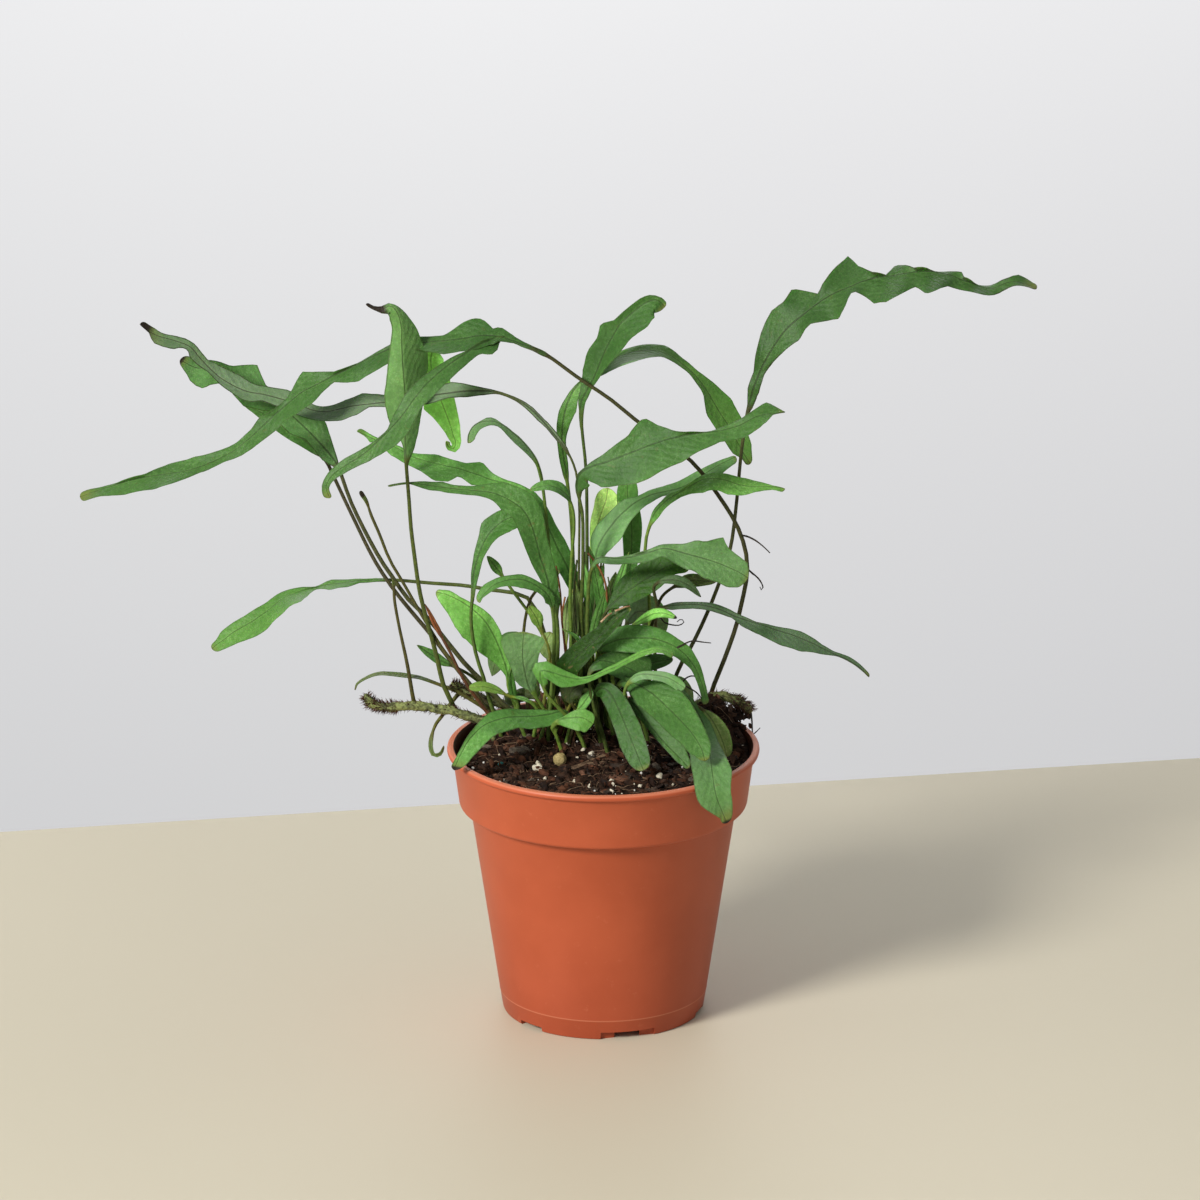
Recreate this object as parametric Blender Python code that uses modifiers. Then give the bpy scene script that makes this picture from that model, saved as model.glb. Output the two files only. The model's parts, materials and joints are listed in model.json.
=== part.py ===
"""Potted kangaroo fern: a nursery pot with its soil, creeping rhizomes and strap-shaped fronds.

Metres, +Z up. The origin is the centre of the pot's underside, and the plant is seen from -Y.
"""

import math
from typing import NamedTuple

import bmesh
import bpy
import numpy as np
from mathutils import Vector

MM = 0.001
GAP = 0.3 * MM

# The pot
POT_HEIGHT = 134.4 * MM
RIM_RADIUS = 76.0 * MM
LIP_HEIGHT = 3.0 * MM
BAND_TOP_RADIUS = 73.4 * MM
BAND_BOTTOM_RADIUS = 70.3 * MM
BAND_BOTTOM = 105.2 * MM
BODY_TOP_RADIUS = 64.9 * MM
BASE_RADIUS = 49.4 * MM
BODY_SLOPE = (BODY_TOP_RADIUS - BASE_RADIUS) / BAND_BOTTOM
WALL = 1.6 * MM
INNER_SHELF = BAND_BOTTOM + 1.5 * WALL
FLOOR_UNDER = 4.0 * MM
FOOT_WIDTH = 3.0 * MM
PAD_RADIUS = 10.0 * MM
POT_SIDES = 54

# The foot's drainage notches and the floor's drain holes
NOTCHES = 6
FIRST_NOTCH = math.radians(14.3)
NOTCH_HEIGHT = 3.4 * MM
NOTCH_WIDTH = 12.5 * MM
RECESS_WIDTH = 27.0 * MM
RECESS_DEPTH = 0.9 * MM
DRAIN_RADIUS = 4.0 * MM
DRAINS_AT = 32.0 * MM

# The soil's surface: an even level with a crown in the middle and a heap at the back right
SOIL_LEVEL = 128.5
SOIL_RIM_LEVEL = 133.0
SOIL_RADIUS = 70.9
SOIL_BOTTOM = 7.0 * MM
SOIL_SIDES = 32
SOIL_RINGS = (0.0, 12, 24, 36, 47, 56, 64, SOIL_RADIUS)
HEAPS = (
    # height, centre x, centre y, spread x, spread y, in millimetres
    (9.0, -8.0, 16.0, 38.0, 20.0),
    (15.0, 54.0, 31.0, 20.0, 18.0),
    (5.0, -48.0, 30.0, 18.0, 20.0),
)

# The picture plane that the fronds' courses are laid out on: a point is given by how far it lies to
# the right and down, in pixels of a 1200 pixel square seen from EYE, and by how far behind the pot's
# axis it is, in millimetres.
EYE = Vector((-1.6 * MM, -3045.4 * MM, 1191.0 * MM))
PITCH = math.radians(17.882)
FOCAL = 6626.8
CENTRE = 600.0
AHEAD = Vector((0.0, math.cos(PITCH), -math.sin(PITCH)))
UPWARD = Vector((0.0, math.sin(PITCH), math.cos(PITCH)))
TO_EYE = -AHEAD

# The fronds' sections
BLADE_THICKNESS = 0.6
MIDRIB_THICKNESS = 1.2
STEM_RADIUS_LOW = 1.0
STEM_RADIUS_HIGH = 0.75
STEM_TAPERS_BY = 0.6
STEM_HALF_WIDTH = 0.87
MIDRIB_LEAST = 0.45
WAVE_LAG = 0.37
LEAF_ROUGHNESS = 0.45
ROOT_DEPTH = 9.0
HOLE_RISE = 3.5
HOLE_CLEARANCE = 0.4
BLADE_STEP = 6.5
STEM_STEP = 24.0
COURSE_SAMPLES = 400
RISING_SPLITS = (0, 2, 3, 5)

# The rhizomes' lumps, the share of their length where the tip starts to round off, and their steps
LUMPS = 6.5
LUMP_SHARE = 0.08
TIP_ROUNDS_FROM = 0.93
LEAST_TIP = 0.35
RHIZOME_STEP = 3.2

GREEN = (0.10, 0.28, 0.07)
LIGHT_GREEN = (0.20, 0.40, 0.10)
DARK_GREEN = (0.05, 0.16, 0.05)
STIPE_BROWN = (0.09, 0.06, 0.03)
RUST = (0.25, 0.09, 0.03)
BARK = (0.10, 0.11, 0.04)
TERRACOTTA = (0.50, 0.13, 0.055)
SOIL_BROWN = (0.06, 0.035, 0.02)


class Frond(NamedTuple):
    """A frond's course over the picture plane, then its blade's form.

    root is where the stem enters the soil, (x, y) in millimetres, or None where it starts on a
    rhizome. stem and blade are the picture points. depth holds distances behind the pot's axis,
    spaced evenly along the course. wide is the blade's width in millimetres, turn its facing along
    the blade in degrees from full face, peak the place of its widest point, and base and tip how
    slowly it widens and narrows. fold raises the edges, wave is their swing in millimetres over
    waves swings. Where edges is given, it holds the outline's picture points on the left of the way
    the frond runs and then on its right, and the blade reaches to them instead.
    """

    name: str
    root: tuple
    stem: tuple
    blade: tuple
    depth: tuple
    wide: float
    turn: tuple = (20,)
    peak: float = 0.45
    base: float = 1.0
    tip: float = 0.8
    fold: float = 0.15
    wave: float = 0.0
    waves: float = 3.0
    colour: tuple = GREEN
    edges: tuple = ()


FRONDS = (
    # The tall fronds at the right
    Frond("frond_right_wavy", (31, 42),
          ((677, 673), (692, 645), (705, 618), (718, 586), (730, 550), (737, 498), (741, 455), (747, 414)),
          ((752, 394), (759, 374), (770, 353), (785, 331), (807, 312), (828, 297), (850, 287), (872, 279),
           (893, 276), (922, 272), (948, 275), (969, 283), (991, 289), (1013, 282), (1037, 288)),
          (44, 46, 44, 42, 40, 36, 30), 21, (-10, -25, -40, -50, -50, -50),
          fold=0.1, wave=2.4, waves=7.5,
          edges=(
              ((748, 407), (748, 387), (753, 373), (756, 353), (761, 332), (770, 312), (782, 303),
               (790, 290), (803, 292), (818, 294), (822, 283), (832, 268), (843, 257), (855, 266),
               (872, 272), (887, 275), (894, 264), (907, 265), (922, 272), (938, 272), (957, 271),
               (963, 272), (964, 282), (975, 286), (992, 284), (1007, 278), (1019, 274), (1035, 283)),
              ((753, 407), (759, 392), (765, 373), (777, 358), (788, 347), (800, 340), (807, 328),
               (813, 322), (828, 320), (842, 318), (848, 307), (853, 293), (858, 291), (865, 295),
               (877, 304), (890, 303), (902, 295), (917, 287), (927, 296), (935, 293), (947, 287),
               (958, 290), (968, 292), (990, 296), (1002, 292), (1013, 287), (1028, 287), (1036, 290)),
          )),
    Frond("frond_forked", None,
          ((712, 690), (726, 655), (737, 623), (742, 601), (746, 583), (747, 560), (742, 538), (733, 518),
           (716, 492), (702, 473), (690, 460), (637, 421), (610, 399), (580, 379), (540, 351), (520, 344)),
          ((500, 337), (482, 336), (460, 339), (443, 341), (420, 343), (400, 346), (384, 352), (341, 373),
           (320, 383), (300, 394), (281, 410), (256, 433), (234, 451), (201, 467), (176, 473), (143, 478),
           (101, 490), (80, 497)),
          (35, 34, 32, 31, 36, 43, 43, 38, 34, 30), 17, (45, 45, 45, 35, 45, 50, 45),
          fold=0.2, wave=1.5, waves=6,
          edges=(
              ((520, 346), (498, 342), (493, 350), (480, 349), (460, 350), (443, 350), (420, 352), (400, 358),
               (380, 369), (360, 382), (347, 383), (333, 383), (323, 393), (315, 403), (300, 412),
               (287, 420), (273, 433), (260, 443), (243, 455), (227, 461), (217, 466), (200, 473),
               (177, 482), (153, 490), (127, 495), (103, 496), (83, 502)),
              ((520, 340), (508, 332), (498, 326), (492, 328), (483, 322), (472, 318), (455, 328), (443, 334),
               (420, 336), (400, 340), (384, 348), (360, 365), (343, 372), (323, 372), (302, 371),
               (293, 388), (287, 398), (273, 410), (260, 417), (250, 430), (237, 442), (220, 450),
               (193, 457), (170, 463), (147, 473), (132, 479), (117, 483), (100, 487), (87, 490)),
          )),
    Frond("frond_centre_big", (2, 21),
          ((583, 640), (583, 560), (582, 510), (577, 488)),
          ((580, 474), (591, 467), (610, 461), (633, 452), (656, 443), (678, 437), (694, 434), (714, 432),
           (739, 426), (760, 416), (785, 412)),
          (20, 16, 12, 6, 3, 2, 4), 25, (-15, -15, -25, -40, -50),
          fold=0.12, wave=1.4, waves=3.5,
          edges=(
              ((577, 475), (583, 469), (597, 458), (610, 449), (628, 436), (638, 421), (643, 419), (657, 425),
               (673, 431), (695, 434), (713, 431), (733, 422), (752, 412), (767, 402), (773, 405), (784, 411)),
              ((578, 485), (597, 489), (610, 487), (620, 485), (638, 483), (653, 477), (668, 468), (683, 462),
               (697, 453), (720, 442), (743, 438), (760, 428), (767, 422), (773, 413), (784, 412)),
          )),
    Frond("frond_right_rear", (6, 30),
          ((598, 640), (595, 580)),
          ((598, 548), (610, 528), (625, 511), (640, 500), (656, 494), (681, 488), (699, 478), (718, 466),
           (736, 457)),
          (27, 28, 32, 42, 50), 14, (-30, -30, -40), wave=0.8,
          edges=(
              ((592, 550), (590, 538), (597, 525), (610, 512), (622, 500), (638, 496), (657, 488), (673, 483),
               (693, 473), (707, 466), (723, 459), (736, 455)),
              ((604, 556), (612, 548), (622, 538), (630, 522), (640, 510), (650, 503), (663, 496), (683, 493),
               (703, 482), (720, 475), (737, 462)),
          )),
    Frond("frond_right_mid", (22, 28),
          ((650, 640), (648, 575), (645, 548), (648, 531)),
          ((655, 513), (668, 500), (690, 487), (706, 479), (722, 480), (745, 486), (772, 487), (785, 489)),
          (27, 27, 26, 23, 18), 13, (-40, -40, -35), wave=1.2, waves=3,
          edges=(
              ((652, 512), (660, 502), (667, 495), (685, 489), (690, 483), (702, 475), (712, 472), (727, 474),
               (747, 478), (760, 482), (777, 487), (785, 488)),
              ((656, 520), (660, 515), (672, 503), (683, 496), (693, 493), (707, 492), (717, 490), (728, 495),
               (743, 496), (757, 492), (773, 490), (782, 492)),
          )),
    Frond("frond_right_broad", (-2, 11),
          ((588, 650), (588, 600), (591, 570)),
          ((597, 559), (620, 559), (645, 554), (665, 549), (690, 555), (715, 562), (738, 572), (748, 578)),
          (10, 8, 4, -2, -6, -8), 20, (-65, -40, -15, -15), wave=1.2,
          edges=(
              ((597, 558), (610, 557), (622, 556), (640, 552), (652, 548), (667, 544), (683, 544), (697, 540),
               (705, 542), (723, 537), (727, 547), (737, 555), (747, 563), (750, 577)),
              ((598, 563), (610, 565), (627, 563), (640, 563), (650, 561), (663, 556), (673, 562), (687, 570),
               (693, 570), (703, 578), (717, 582), (727, 587), (742, 588), (748, 583)),
          )),
    Frond("frond_right_drooping", (20, 15),
          ((625, 660), (636, 628), (650, 612)),
          ((673, 606), (707, 606), (737, 617), (773, 629), (807, 641), (833, 654), (855, 664), (869, 677)),
          (18, 19, 17, 12, 8, 5, 4), 12, (-40, -35, -35), wave=0.5, colour=DARK_GREEN,
          edges=(
              ((672, 603), (697, 602), (713, 603), (733, 611), (757, 622), (780, 627), (803, 632), (820, 643),
               (833, 651), (850, 657), (863, 667)),
              ((672, 610), (697, 609), (717, 613), (733, 618), (743, 627), (760, 635), (780, 645), (800, 651),
               (820, 654), (837, 656), (853, 663), (865, 673)),
          )),
    # The tall fronds at the left
    Frond("frond_left_upright", None,
          ((451, 701), (443, 684), (438, 662), (431, 635), (424, 610), (419, 588), (415, 560), (411, 528),
           (409, 500), (407, 475)),
          ((406, 461), (405, 430), (405, 394), (403, 369), (402, 346), (401, 325), (397, 312),
           (390, 306), (382, 309), (374, 308), (366, 304)),
          (37, 37, 36, 34, 32, 34), 22, (10, 20, 20), fold=0.55,
          edges=(
              ((405, 460), (404, 450), (400, 440), (392, 430), (388, 420), (385, 407), (384, 395),
               (387, 377), (389, 355), (391, 340), (392, 330), (390, 320), (386, 315), (380, 312),
               (374, 310), (367, 306)),
              ((409, 462), (414, 450), (418, 435), (422, 412), (424, 400), (428, 372), (427, 355),
               (422, 345), (417, 332), (410, 320), (402, 310), (395, 305), (389, 303), (382, 306),
               (374, 306), (366, 302)),
          )),
    Frond("frond_left_rear", (-35, 30),
          ((505, 706), (485.7, 684.5), (467, 666), (447, 641.6), (428.6, 619), (407, 597.8), (394.9, 580.4),
           (379.6, 558), (351.8, 504), (343, 480)),
          ((337, 464), (320, 443), (299, 422), (279, 405), (257, 389), (234, 376), (213, 368), (196, 368),
           (180, 360)),
          (32, 40, 48, 57, 66, 72, 73), 20, (5, 10, 30, 30), wave=1.2,
          edges=(
              ((330, 465), (322, 460), (305, 439), (290, 434), (281, 425), (270, 411), (262, 411),
               (252, 408), (243, 406), (234, 396), (222, 383), (212, 385), (202, 389), (192, 383),
               (186, 374), (180, 365), (177, 359)),
              ((339, 467), (336, 455), (330, 435), (325, 421), (300, 400), (278, 392), (266, 386),
               (261, 375), (258, 365), (247, 365), (230, 366), (217, 361), (205, 360), (196, 358),
               (187, 356), (181, 354)),
          )),
    Frond("frond_left_low_rear", (-41, 36),
          ((500, 716), (470, 684.5), (448, 657), (431.6, 635.5), (411, 611), (394.9, 591), (375.5, 562),
           (351, 513), (333, 475)),
          ((326, 461), (312, 447), (296, 434), (278, 423), (260, 412), (243, 404)),
          (38, 44, 54, 66, 77, 84), 9, (10, 30), tip=0.6, wave=0.6),
    Frond("frond_left_twisted", (-13, 22),
          ((578, 640), (579, 560), (579, 500), (576, 472), (566, 450), (556, 438), (540, 417), (522, 401)),
          ((500, 394), (473, 391), (443, 394), (400, 401), (356, 406), (321, 412), (295, 404),
           (270, 396), (245, 391), (222, 379), (207, 366), (199, 357), (190, 347), (175, 341),
           (155, 335), (140, 324)),
          (23, 25, 28, 36, 45, 52, 57, 59, 55), 15, (45, 45, 45, 40, 25, 25, 40), wave=0.9, waves=4,
          edges=(
              ((518, 408), (505, 396), (485, 395), (470, 397), (450, 398), (430, 404), (400, 407),
               (370, 407), (360, 415), (345, 420), (325, 421), (305, 418), (285, 410), (262, 401),
               (250, 402), (242, 400), (230, 392), (222, 386), (215, 379), (207, 371), (197, 364),
               (189, 357), (187, 350), (180, 347), (172, 349), (162, 347), (152, 342), (149, 332),
               (144, 326)),
              ((517, 401), (500, 391), (485, 388), (470, 385), (460, 383), (450, 382), (430, 388),
               (400, 393), (385, 395), (360, 393), (350, 398), (335, 404), (315, 405), (300, 398),
               (288, 390), (270, 387), (257, 385), (240, 375), (225, 368), (214, 362), (208, 360),
               (200, 350), (190, 341), (180, 337), (165, 334), (155, 328), (145, 322)),
          )),
    Frond("frond_left_mid", (-4, 31),
          ((584, 640), (582, 615)),
          ((577, 592), (567, 567), (556, 545), (547, 525), (538, 506), (520, 489), (495, 481),
           (477, 475), (456, 468), (437, 464), (412, 457), (398, 449), (373, 439), (357, 431)),
          (31, 34, 39, 45, 48, 50), 16, (20, 30, 40, 40), wave=1.2, waves=2.5,
          edges=(
              ((571, 594), (560, 573), (552, 563), (544, 548), (536, 528), (527, 510), (512, 496),
               (492, 488), (472, 485), (465, 480), (459, 476), (450, 482), (435, 481), (422, 472),
               (412, 467), (402, 462), (390, 455), (378, 441), (370, 443), (365, 435)),
              ((584, 592), (577, 570), (571, 552), (565, 540), (557, 527), (547, 507), (535, 492),
               (525, 487), (505, 480), (492, 472), (482, 462), (465, 463), (455, 460), (437, 454),
               (425, 454), (412, 453), (402, 447), (390, 443), (372, 435), (364, 430)),
          )),
    Frond("frond_pale_needle_tip", (-27, 14),
          ((558, 650), (556, 612)),
          ((550, 591), (546, 573), (541, 559), (536, 540), (530, 522), (522, 509), (509, 500),
           (492, 493), (475, 491), (456, 489), (432, 486), (411, 483), (388, 486)),
          (14, 16, 19, 25, 32, 40), 16, (15, 20, 40, 40), wave=0.6,
          edges=(
              ((552, 606), (547, 595), (535, 570), (527, 552), (520, 535), (515, 522), (502, 510),
               (495, 502), (480, 496), (455, 494), (440, 491), (430, 490), (417, 486), (410, 484)),
              ((561, 600), (556, 570), (552, 555), (547, 537), (545, 525), (541, 509), (533, 495),
               (523, 489), (505, 483), (490, 483), (472, 486), (455, 485), (442, 482), (425, 481),
               (412, 482), (395, 484)),
          )),
    Frond("frond_left_long_low", (-24, 39),
          ((548, 655), (544, 632), (537, 613), (530, 600), (519, 594), (484, 589), (469, 586), (430, 583)),
          ((392, 580), (364, 581), (345, 583), (330, 585), (316, 588), (300, 592), (285, 598),
           (268, 611), (250, 623), (233, 633), (220, 643), (212, 649)),
          (40, 46, 53, 60, 61, 55, 48), 14, (60, 60, 75, 35, 30), wave=0.5,
          edges=(
              ((392, 581), (372, 582), (360, 583), (350, 587), (340, 588), (330, 590), (317, 589),
               (310, 593), (300, 602), (287, 611), (275, 621), (267, 630), (257, 636), (245, 641),
               (232, 646), (222, 650)),
              ((392, 579), (375, 578), (362, 579), (350, 579), (330, 580), (322, 584), (315, 587),
               (302, 587), (282, 591), (270, 599), (260, 606), (250, 612), (237, 620), (227, 627),
               (220, 632), (216, 640), (212, 644)),
          )),
    Frond("frond_crozier", (-44, 27),
          ((484, 705), (472.4, 687.6), (462, 675), (441.8, 647.8), (423.5, 618), (403, 582.4),
           (389.8, 560), (379.4, 534)),
          ((371, 514.6), (366.7, 502), (363, 496), (360, 491)),
          (29, 37.5, 42, 45, 47), 2.2, (20,), peak=0.8, tip=0.3, fold=0.0, colour=DARK_GREEN),
    Frond("frond_broken_stipe", None,
          ((413.5, 700.5), (407, 663), (399, 626), (394.5, 600)),
          ((394, 590), (393.5, 579)),
          (38, 41, 43), 2.0, (20,), tip=0.3, fold=0.0, colour=STIPE_BROWN),
    Frond("frond_rust_stub", (-48, 22),
          ((489, 715), (487, 712), (465.3, 682.4), (450, 652)),
          ((444, 641), (437.8, 629.4), (425, 604)),
          (23, 27, 33), 2.6, (20,), peak=0.3, tip=0.6, fold=0.0, colour=RUST),
    # The fronds that rise from the middle
    Frond("frond_centre_upright", (-6, 26),
          ((587, 640), (587, 538), (586, 470), (582, 429), (581, 405)),
          ((587, 391), (595, 376), (604, 354), (612, 338), (621, 324), (633, 313), (646, 303), (657, 300),
           (665, 307)),
          (27, 31, 36, 38, 36, 32), 16, (-30, -30, -20), fold=0.35,
          edges=(
              ((579, 390), (582, 375), (583, 365), (588, 348), (597, 335), (600, 325), (615, 320), (625, 310),
               (638, 300), (648, 295), (658, 296), (667, 303)),
              ((587, 400), (592, 385), (602, 370), (615, 357), (625, 345), (638, 333), (650, 325), (655, 318),
               (661, 315)),
          )),
    Frond("frond_centre_arch", (-12, 31),
          ((574, 640), (573, 560), (571, 515), (567, 480)),
          ((564, 460), (562, 437), (565, 412), (573, 392), (588, 376), (608, 363), (629, 354), (650, 351),
           (670, 356), (690, 371), (706, 390), (718, 410), (728, 425), (740, 447), (750, 464)),
          (34, 38, 43, 48, 53, 57), 15, (-50, -55, -60, -50, -15, -20), wave=0.5,
          edges=(
              ((557, 460), (556, 445), (557, 432), (562, 408), (570, 388), (580, 378), (600, 362), (618, 352),
               (642, 345), (667, 346), (682, 357), (698, 372), (718, 387), (732, 400), (740, 415), (747, 430),
               (752, 445), (752, 462)),
              ((570, 460), (566, 442), (567, 425), (572, 408), (578, 392), (592, 381), (612, 371), (635, 363),
               (658, 357), (675, 363), (688, 373), (702, 393), (705, 412), (715, 428), (732, 452), (742, 458)),
          )),
    Frond("frond_thin_arch", (-23, 20),
          ((556, 640), (550, 560), (545, 505)),
          ((542, 483), (537, 462), (529, 449), (516, 436), (500, 424), (487, 421), (477, 424), (470, 432),
           (468, 443)),
          (22, 24, 28, 30, 30), 7, (55, 60, 60, 50), base=0.6, tip=0.5),
    Frond("frond_mid_curling", (-17, 17),
          ((571, 640), (570, 600), (572, 553), (574, 522)),
          ((571, 504), (562, 491), (548, 486), (530, 490)),
          (15, 14, 12, 10), 9, (55, 50), tip=0.5),
    Frond("frond_upright_yellow", (-2, 38),
          ((592, 640), (592, 580)),
          ((593, 560), (595, 540), (598, 520), (606, 494)),
          (39, 40, 41), 11, (10, 0), peak=0.7, tip=0.4, colour=LIGHT_GREEN),
    Frond("frond_upright_right", (14, 36),
          ((617, 640),),
          ((624, 600), (629, 570), (631, 545), (630, 520), (628, 500), (627, 484)),
          (37, 40, 41), 9.5, (0, 0), peak=0.65, tip=0.5),
    Frond("frond_small_pale", (4, 38),
          ((604, 630),),
          ((606, 612), (608, 600), (612, 586), (616, 572)),
          (36, 31), 4.5, (0, 0), tip=0.6, colour=LIGHT_GREEN),
    Frond("frond_left_shiny", (-50, 16),
          ((488, 695), (484, 679), (477, 658), (473, 640), (471, 620)),
          ((472, 600), (475, 570), (481, 550), (490, 533), (503, 521), (518, 515), (536, 506)),
          (16, 17, 19, 25, 29), 8.5, (-30, -30, -20), fold=0.35,
          edges=(
              ((471, 600), (471, 590), (472, 565), (475, 550), (479, 535), (482, 522), (490, 516),
               (500, 510), (518, 505), (534, 502)),
              ((474, 600), (476, 588), (480, 572), (483, 560), (490, 547), (500, 536), (510, 532),
               (519, 527), (534, 511)),
          )),
    Frond("frond_low_arch", (-27, 7),
          ((554, 650), (553, 615)),
          ((548, 596), (536, 586), (523, 580), (510, 580), (496, 584), (486, 592), (478, 602)),
          (8, 12, 12, 10), 7, (40, 40),
          edges=(
              ((552, 606), (545, 602), (537, 592), (520, 588), (510, 586), (492, 591), (482, 598),
               (479, 605)),
              ((556, 600), (550, 590), (537, 581), (522, 574), (512, 575), (492, 580), (482, 586),
               (476, 596)),
          )),
    Frond("frond_thin_stalked", (-28, 26),
          ((551, 655), (543, 636), (534, 620), (524, 606), (512, 590)),
          ((503, 577), (495, 566), (487, 556)),
          (25, 27, 29), 5, (15,), tip=0.7),
    Frond("frond_small_olive", (-31, 19),
          ((550, 655), (546, 640)),
          ((541, 629), (536, 617), (529, 606)),
          (20, 21), 6.5, (15,), tip=0.5, colour=LIGHT_GREEN),
    Frond("frond_thin_hooked", (-37, 28),
          ((527, 690), (523, 650), (525, 620), (530, 600), (537, 590)),
          ((545, 583), (552, 577), (560, 570)),
          (31, 32, 33, 32, 30, 22, 19), 3.4, (0,), tip=0.5),
    # The low fronds at the left
    Frond("frond_left_broad", (-38, 20),
          ((522, 720), (513, 700), (508, 684)),
          ((508, 675), (502, 655), (495, 638), (484, 620), (468, 606), (450, 596), (436, 592)),
          (21, 24, 28, 32), 14.5, (15, 15), wave=0.8,
          edges=(
              ((505, 675), (497, 665), (480, 652), (472, 645), (462, 637), (455, 627), (450, 617),
               (442, 605), (436, 597)),
              ((513, 680), (510, 662), (505, 645), (500, 630), (492, 617), (480, 607), (470, 602),
               (460, 597), (451, 591), (442, 590)),
          )),
    Frond("frond_paddle", (-31, 6),
          ((546, 715), (538, 700)),
          ((530, 689), (526, 676), (523, 660), (523, 645), (524, 632)),
          (8, 4, -2, -6), 21, (0, 0), fold=0.1, wave=0.4,
          edges=(
              ((524, 687), (516, 678), (510, 668), (505, 657), (502, 645), (503, 635)),
              ((536, 688), (538, 675), (538, 663), (541, 650), (545, 642), (546, 635)),
          )),
    Frond("frond_small_bright", (-20, 11),
          ((550, 715), (538, 705), (526, 700)),
          ((509, 696), (498, 691), (484, 687), (469, 688)),
          (12, 10, 7), 6.5, (40, 40), peak=0.7, tip=0.4, colour=LIGHT_GREEN),
    Frond("frond_left_small", (-42, 51),
          ((505, 710), (485, 687), (470, 675)),
          ((455, 667), (441, 661), (427, 652), (417, 645)),
          (51, 50, 47, 45), 5.5, (30, 30), tip=0.7),
    Frond("frond_left_narrow", (-52, 42),
          ((484, 708), (470, 699), (456, 691)),
          ((443, 686), (420, 678), (397, 675), (380, 674), (369, 677), (357, 684), (355, 690)),
          (42, 43, 45, 46), 4.5, (60, 60), base=0.7, tip=0.5),
    Frond("frond_left_curl", None,
          ((443.5, 715.7), (440, 719)),
          ((436, 724), (432, 735), (431, 747), (434, 755), (440, 754), (444, 746)),
          (34.4, 30, 24), 2.6, (30,), tip=0.4),
    Frond("frond_front_strap_left", (-12, 9),
          ((566, 728), (572, 717)),
          ((564, 712), (547, 715), (526, 717), (507, 718), (487, 724), (473, 736), (462, 752), (454, 770)),
          (7, 2, -6, -17, -30, -42), 14, (45, 45, 40, 25, 15), wave=0.8,
          edges=(
              ((562, 721), (555, 723), (542, 727), (525, 729), (512, 728), (502, 732), (490, 740),
               (480, 750), (467, 765), (457, 773)),
              ((566, 710), (555, 710), (540, 709), (520, 709), (502, 709), (492, 712), (482, 720),
               (475, 727), (467, 737), (460, 750), (452, 765)),
          )),
    Frond("frond_front_rounded", (-20, -4),
          ((556, 735), (552, 727)),
          ((557, 721), (570, 718), (583, 718), (593, 724)),
          (-6, -9, -12, -12), 11, (-10, -10),
          edges=(
              ((560, 719), (566, 715), (575, 710), (585, 709), (591, 712)),
              ((556, 725), (560, 730), (568, 732), (573, 729), (578, 731), (585, 733), (592, 728)),
          )),
    # The low fronds in front and at the right
    Frond("frond_dark_spread", (9, 14),
          ((597, 640),),
          ((606, 612), (617, 600), (634, 587), (653, 575), (673, 565), (689, 569)),
          (14, 13, 12), 16, (-20, -20), peak=0.5, tip=0.5, wave=0.8, colour=DARK_GREEN),
    Frond("frond_olive_right", (27, 34),
          ((655, 640), (660, 600)),
          ((672, 588), (690, 581), (716, 582)),
          (33, 29, 25), 7, (-20,), tip=0.7),
    Frond("frond_grey_right", (19, 17),
          ((641, 650), (657, 612)),
          ((655, 585), (672, 580), (688, 585), (701, 597)),
          (17, 15, 11, 5, 2, 0, 0), 6, (-45, -30), tip=0.7),
    Frond("frond_bright_tip", (10, 8),
          ((612, 655),),
          ((628, 630), (642, 620), (660, 613), (677, 618)),
          (13, 13, 12, 4, 1), 5.5, (-20, -30), peak=0.6, tip=0.5, colour=LIGHT_GREEN),
    Frond("frond_dark_folded", (-8, 14),
          ((562, 695),),
          ((567, 668), (583, 651), (600, 636), (616, 621), (631, 608)),
          (7, 2, -1, -2), 14, (-20, -20), peak=0.45, tip=0.6, fold=0.3, colour=DARK_GREEN),
    Frond("frond_broad_arch", (5, 10),
          ((598, 668),),
          ((600, 650), (615, 641), (635, 638), (658, 640), (680, 650), (694, 666), (702, 685),
           (706, 704)),
          (9, 7, 5, 3, 2), 13, (-15, -25, -40),
          edges=(
              ((603, 640), (615, 628), (627, 625), (650, 626), (665, 631), (680, 640), (690, 647),
               (700, 665), (705, 683)),
              ((597, 652), (607, 650), (625, 650), (640, 650), (655, 649), (668, 652), (680, 658),
               (690, 668), (697, 682), (702, 700)),
          )),
    Frond("frond_bright_edge", (-9, 0),
          ((572, 722), (557, 706), (546, 693)),
          ((541, 671), (553, 673), (566, 677), (584, 679), (602, 673), (625, 662), (645, 652),
           (660, 650), (673, 656)),
          (-2, -5, -8, -11, -11), 11, (-35, -70, -70, -60),
          edges=(
              ((541, 662), (550, 662), (562, 669), (575, 675), (590, 674), (602, 669), (622, 658),
               (640, 649), (655, 646), (665, 647)),
              ((540, 676), (548, 681), (558, 686), (570, 687), (585, 683), (600, 679), (622, 667),
               (640, 656), (655, 653), (665, 654)),
          )),
    Frond("frond_front_strap_mid", (-1, 3),
          ((592, 700),),
          ((602, 688), (609, 692), (617, 705), (624, 721), (631, 739), (638, 756), (644, 771)),
          (0, -8, -20, -30, -36), 13.5, (15, 15), wave=0.5,
          edges=(
              ((606, 682), (612, 684), (625, 697), (635, 715), (642, 730), (647, 745), (651, 762)),
              ((595, 690), (599, 703), (607, 720), (615, 735), (622, 750), (630, 765), (640, 774)),
          )),
    Frond("frond_front_bright", (9, 2),
          ((612, 700),),
          ((622, 682), (636, 684), (650, 692), (665, 705), (680, 720), (694, 736), (702, 750),
           (705, 761)),
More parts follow.
